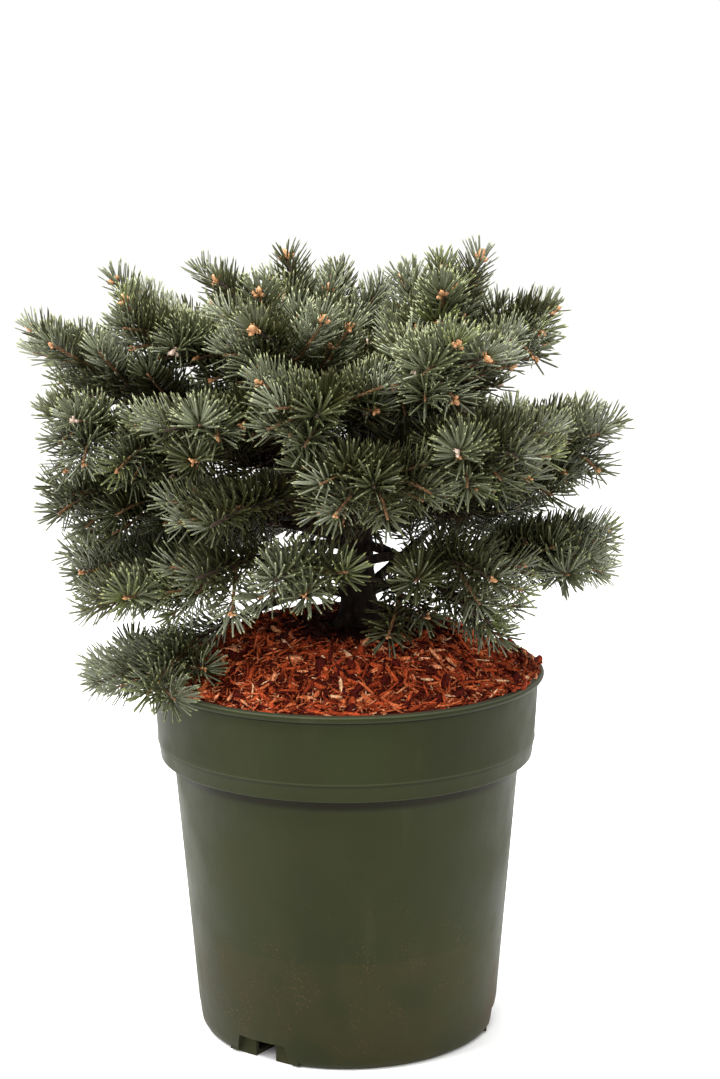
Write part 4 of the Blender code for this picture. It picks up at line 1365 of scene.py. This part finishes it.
def tones_of(shoot, rng):
    """The tone of a shoot's older needles and that of its tip."""
    middle = shoot.points[len(shoot.points) // 2]
    away = middle - CROWN_MIDDLE
    outer = Vector((away.x, away.y, away.z * CROWN_FLATNESS)).length / CROWN_REACH + rng.normal(0, 0.07)
    if outer < 0.44:
        return "deep", "dark"
    if outer < 0.74:
        return "dark", "green"
    high = min(max((middle.z - 0.42) / 0.10, 0.0), 1.0)
    shares = (0.34 - 0.15 * high, 0.36 - 0.08 * high, 0.24 + 0.10 * high, 0.06 + 0.13 * high)
    body = ("dark", "green", "blue", "bloom")[int(rng.choice(4, p=shares))]
    tip = ("fresh", "bloom", "blue")[int(rng.choice(3, p=(0.16, 0.12 + 0.30 * high, 0.72 - 0.30 * high)))]
    return body, tip


def grow_needles():
    """Needle rows of every shoot, sorted into tones."""
    rng = np.random.default_rng(23)
    rows = {tone: [] for tone in NEEDLE_TONES}
    low, high = (np.array(corner) for corner in cad_box)
    for shoot in shoots:
        feet, heading, onward, up, lengths, to_tip = needle_rows(shoot, rng)
        body, tip = tones_of(shoot, rng)
        ends = feet + heading * lengths[:, None]
        radius = np.hypot(ends[:, 0], ends[:, 1])
        bed = np.array([mulch_height(r) for r in radius])
        kept = (ends[:, 2] > bed + 0.002) | (radius > LIP_RADIUS + 0.002)
        kept &= (ends > low - 0.008).all(1) & (ends < high + 0.008).all(1)
        young = (to_tip < 0.010) & kept
        old = (to_tip >= 0.010) & kept
        for tone, chosen in ((tip, young), (body, old)):
            rows[tone].append([part[chosen] for part in (feet, heading, onward, up, lengths)])
    return {tone: [np.concatenate(parts) for parts in zip(*found)] for tone, found in rows.items()}


MOST_NEEDLES = 12000
foliage_nodes = [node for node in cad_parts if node.startswith("foliage_")]
needle_rng = np.random.default_rng(31)
total = 0
for tone, parts in grow_needles().items():
    faces = [new_finish(f"needle_{face}_{tone}", shade(code), roughness) for face, code, roughness in
             zip(("upper", "under", "tip"), NEEDLE_TONES[tone], (0.34, 0.50, 0.45))]
    for finish in faces:
        socket(finish, "Specular IOR Level").default_value = 0.15 if tone in SHADED_TONES else 0.58
    for number, start in enumerate(range(0, len(parts[0]), MOST_NEEDLES)):
        chosen = [part[start:start + MOST_NEEDLES] for part in parts]
        points, triangles, finishes = needle_arrays(*chosen, needle_rng)
        replaced = foliage_nodes if total == 0 else ()
        total += len(chosen[0])
        name = f"needles_{tone}_{number}"
        mesh = mesh_from_arrays(name, points, [triangles])
        add_piece(name, mesh, faces[UPPER_FACE], replaced)
        mesh.materials.append(faces[UNDERSIDE])
        mesh.materials.append(faces[TIP])
        mesh.polygons.foreach_set("material_index", finishes.astype(np.int32))
print(total, "needles")

# %% [markdown]
# Every shoot ends in a cluster of round, resinous buds: one in the middle and a few beside
# it. Most are orange-brown, and some are coated in pale resin. They are what catches the eye
# between the needles. A bud is an egg of a few rings.

# %% Buds
BUD_REACH = 0.105
BUD_LENGTH = 0.0042
BUD_RADIUS = 0.0016
BUD_RINGS = ((0.0, 0.60), (0.35, 1.0), (0.78, 0.70))
BUD_SIDES = 5
BUD_SHARES = (1.0, 0.90, 0.70, 0.55)


def bud_block(foot, heading, size):
    line = [foot + heading * BUD_LENGTH * size * place for place, _ in BUD_RINGS]
    radii = [BUD_RADIUS * size * girth for _, girth in BUD_RINGS]
    line.append(foot + heading * BUD_LENGTH * size)
    radii.append(BUD_RADIUS * size * 0.08)
    return tube_arrays(line, radii, BUD_SIDES)


def grow_buds():
    rng = random.Random(77)
    blocks = {"brown": [], "resin": []}
    for shoot in shoots:
        tip = shoot.points[-1]
        high = min(max((tip.z - 0.40) / 0.12, 0.0), 1.0)
        share = BUD_SHARES[shoot.rank] * (0.42 + 0.58 * high)
        if (tip - CROWN_MIDDLE).length < BUD_REACH or rng.random() > share:
            continue
        onward = (tip - shoot.points[-2]).normalized()
        kind = "resin" if rng.random() < 0.16 else "brown"
        size = rng.uniform(0.85, 1.15) * (1.20 if shoot.rank == 0 else 1.0) * (0.80 + 0.66 * high)
        blocks[kind].append(bud_block(tip - onward * 0.0008, onward, size))
        turn = rng.uniform(0, 360)
        for _ in range(rng.choice((2, 2, 3, 4))):
            turn += GOLDEN_ANGLE
            side = side_heading(onward, turn, math.radians(rng.uniform(50, 68)))
            foot = tip - onward * 0.0012 + side * 0.0010
            blocks[kind].append(bud_block(foot, side, size * rng.uniform(0.60, 0.80)))
    return blocks


BUD_COLORS = {"brown": ("8a5a36", "cf9c6c"), "resin": ("927a68", "c9b3a2")}
for kind, blocks in grow_buds().items():
    finish = wood_finish("buds_" + kind, *BUD_COLORS[kind], 0.35)
    mesh = mesh_from_arrays("buds_" + kind, *gather(blocks))
    mesh.shade_smooth()
    add_piece("buds_" + kind, mesh, finish)

# %% [markdown]
# The stage is a plain pale floor that runs back a long way, under soft light. The plant was
# photographed with broad light from above and from both sides, which leaves hardly any
# shadow, so large area lights do the work here, and the sky fills in the rest.

# %% Floor and light
bpy.ops.mesh.primitive_plane_add(size=80.0, location=(0, 0, 0))
floor = bpy.context.object
floor.name = "floor"
floor.data.materials.append(new_finish("floor_paper", shade("fefefd"), 0.9))

LAMPS = (
    ("key", (-1.0, -0.7, 2.0), 0.7, 40),
    ("top", (0.3, 0.2, 2.2), 0.9, 58),
    ("front", (-0.5, -2.1, 1.5), 0.8, 16),
    ("left", (-1.85, -0.55, 0.9), 1.1, 11),
    ("right", (1.75, -0.95, 0.9), 1.1, 9),
)
for name, place, size, power in LAMPS:
    lamp = bpy.data.lights.new(name, "AREA")
    lamp.shape = "DISK"
    lamp.size = size
    lamp.energy = power
    holder = bpy.data.objects.new(name, lamp)
    holder.location = place
    aim = Vector((0, 0, 0.33)) - Vector(place)
    holder.rotation_euler = aim.to_track_quat("-Z", "Y").to_euler()
    bpy.context.scene.collection.objects.link(holder)

sky = bpy.data.worlds.new("studio")
sky.use_nodes = True
sky.node_tree.nodes["Background"].inputs["Color"].default_value = (1.0, 1.0, 1.0, 1.0)
sky.node_tree.nodes["Background"].inputs["Strength"].default_value = 1.03
bpy.context.scene.world = sky
bpy.context.scene.view_settings.view_transform = "Standard"
print(len(LAMPS), "lamps")

# %% [markdown]
# The camera stands where the photographer stood: about 1.7 m in front, a little above the
# plant and tipped down. The focal length comes from how much the pot narrows from lip to
# foot in the picture, and the small sideways shift puts the plant left of centre as there.

# %% Camera
CAMERA_PLACE = (0.0, -1.726, 0.686)
CAMERA_DIP = 10.96
CAMERA_ROLL = -0.334
FOCAL_PIXELS = 2507
PICTURE_HEIGHT = 1079
SENSOR = 36.0
camera_data = bpy.data.cameras.new("camera")
camera_data.sensor_width = SENSOR
camera_data.lens = FOCAL_PIXELS / PICTURE_HEIGHT * SENSOR
camera_data.shift_x = 14.8 / PICTURE_HEIGHT
camera = bpy.data.objects.new("camera", camera_data)
camera.location = CAMERA_PLACE
camera.rotation_mode = "QUATERNION"
dip = Vector((1, 0, 0))
from mathutils import Quaternion
camera.rotation_quaternion = (Quaternion(dip, math.radians(90 - CAMERA_DIP))
                              @ Quaternion(Vector((0, 0, 1)), math.radians(CAMERA_ROLL)))
bpy.context.scene.collection.objects.link(camera)
bpy.context.scene.camera = camera
print("lens", round(camera_data.lens, 1), "mm")
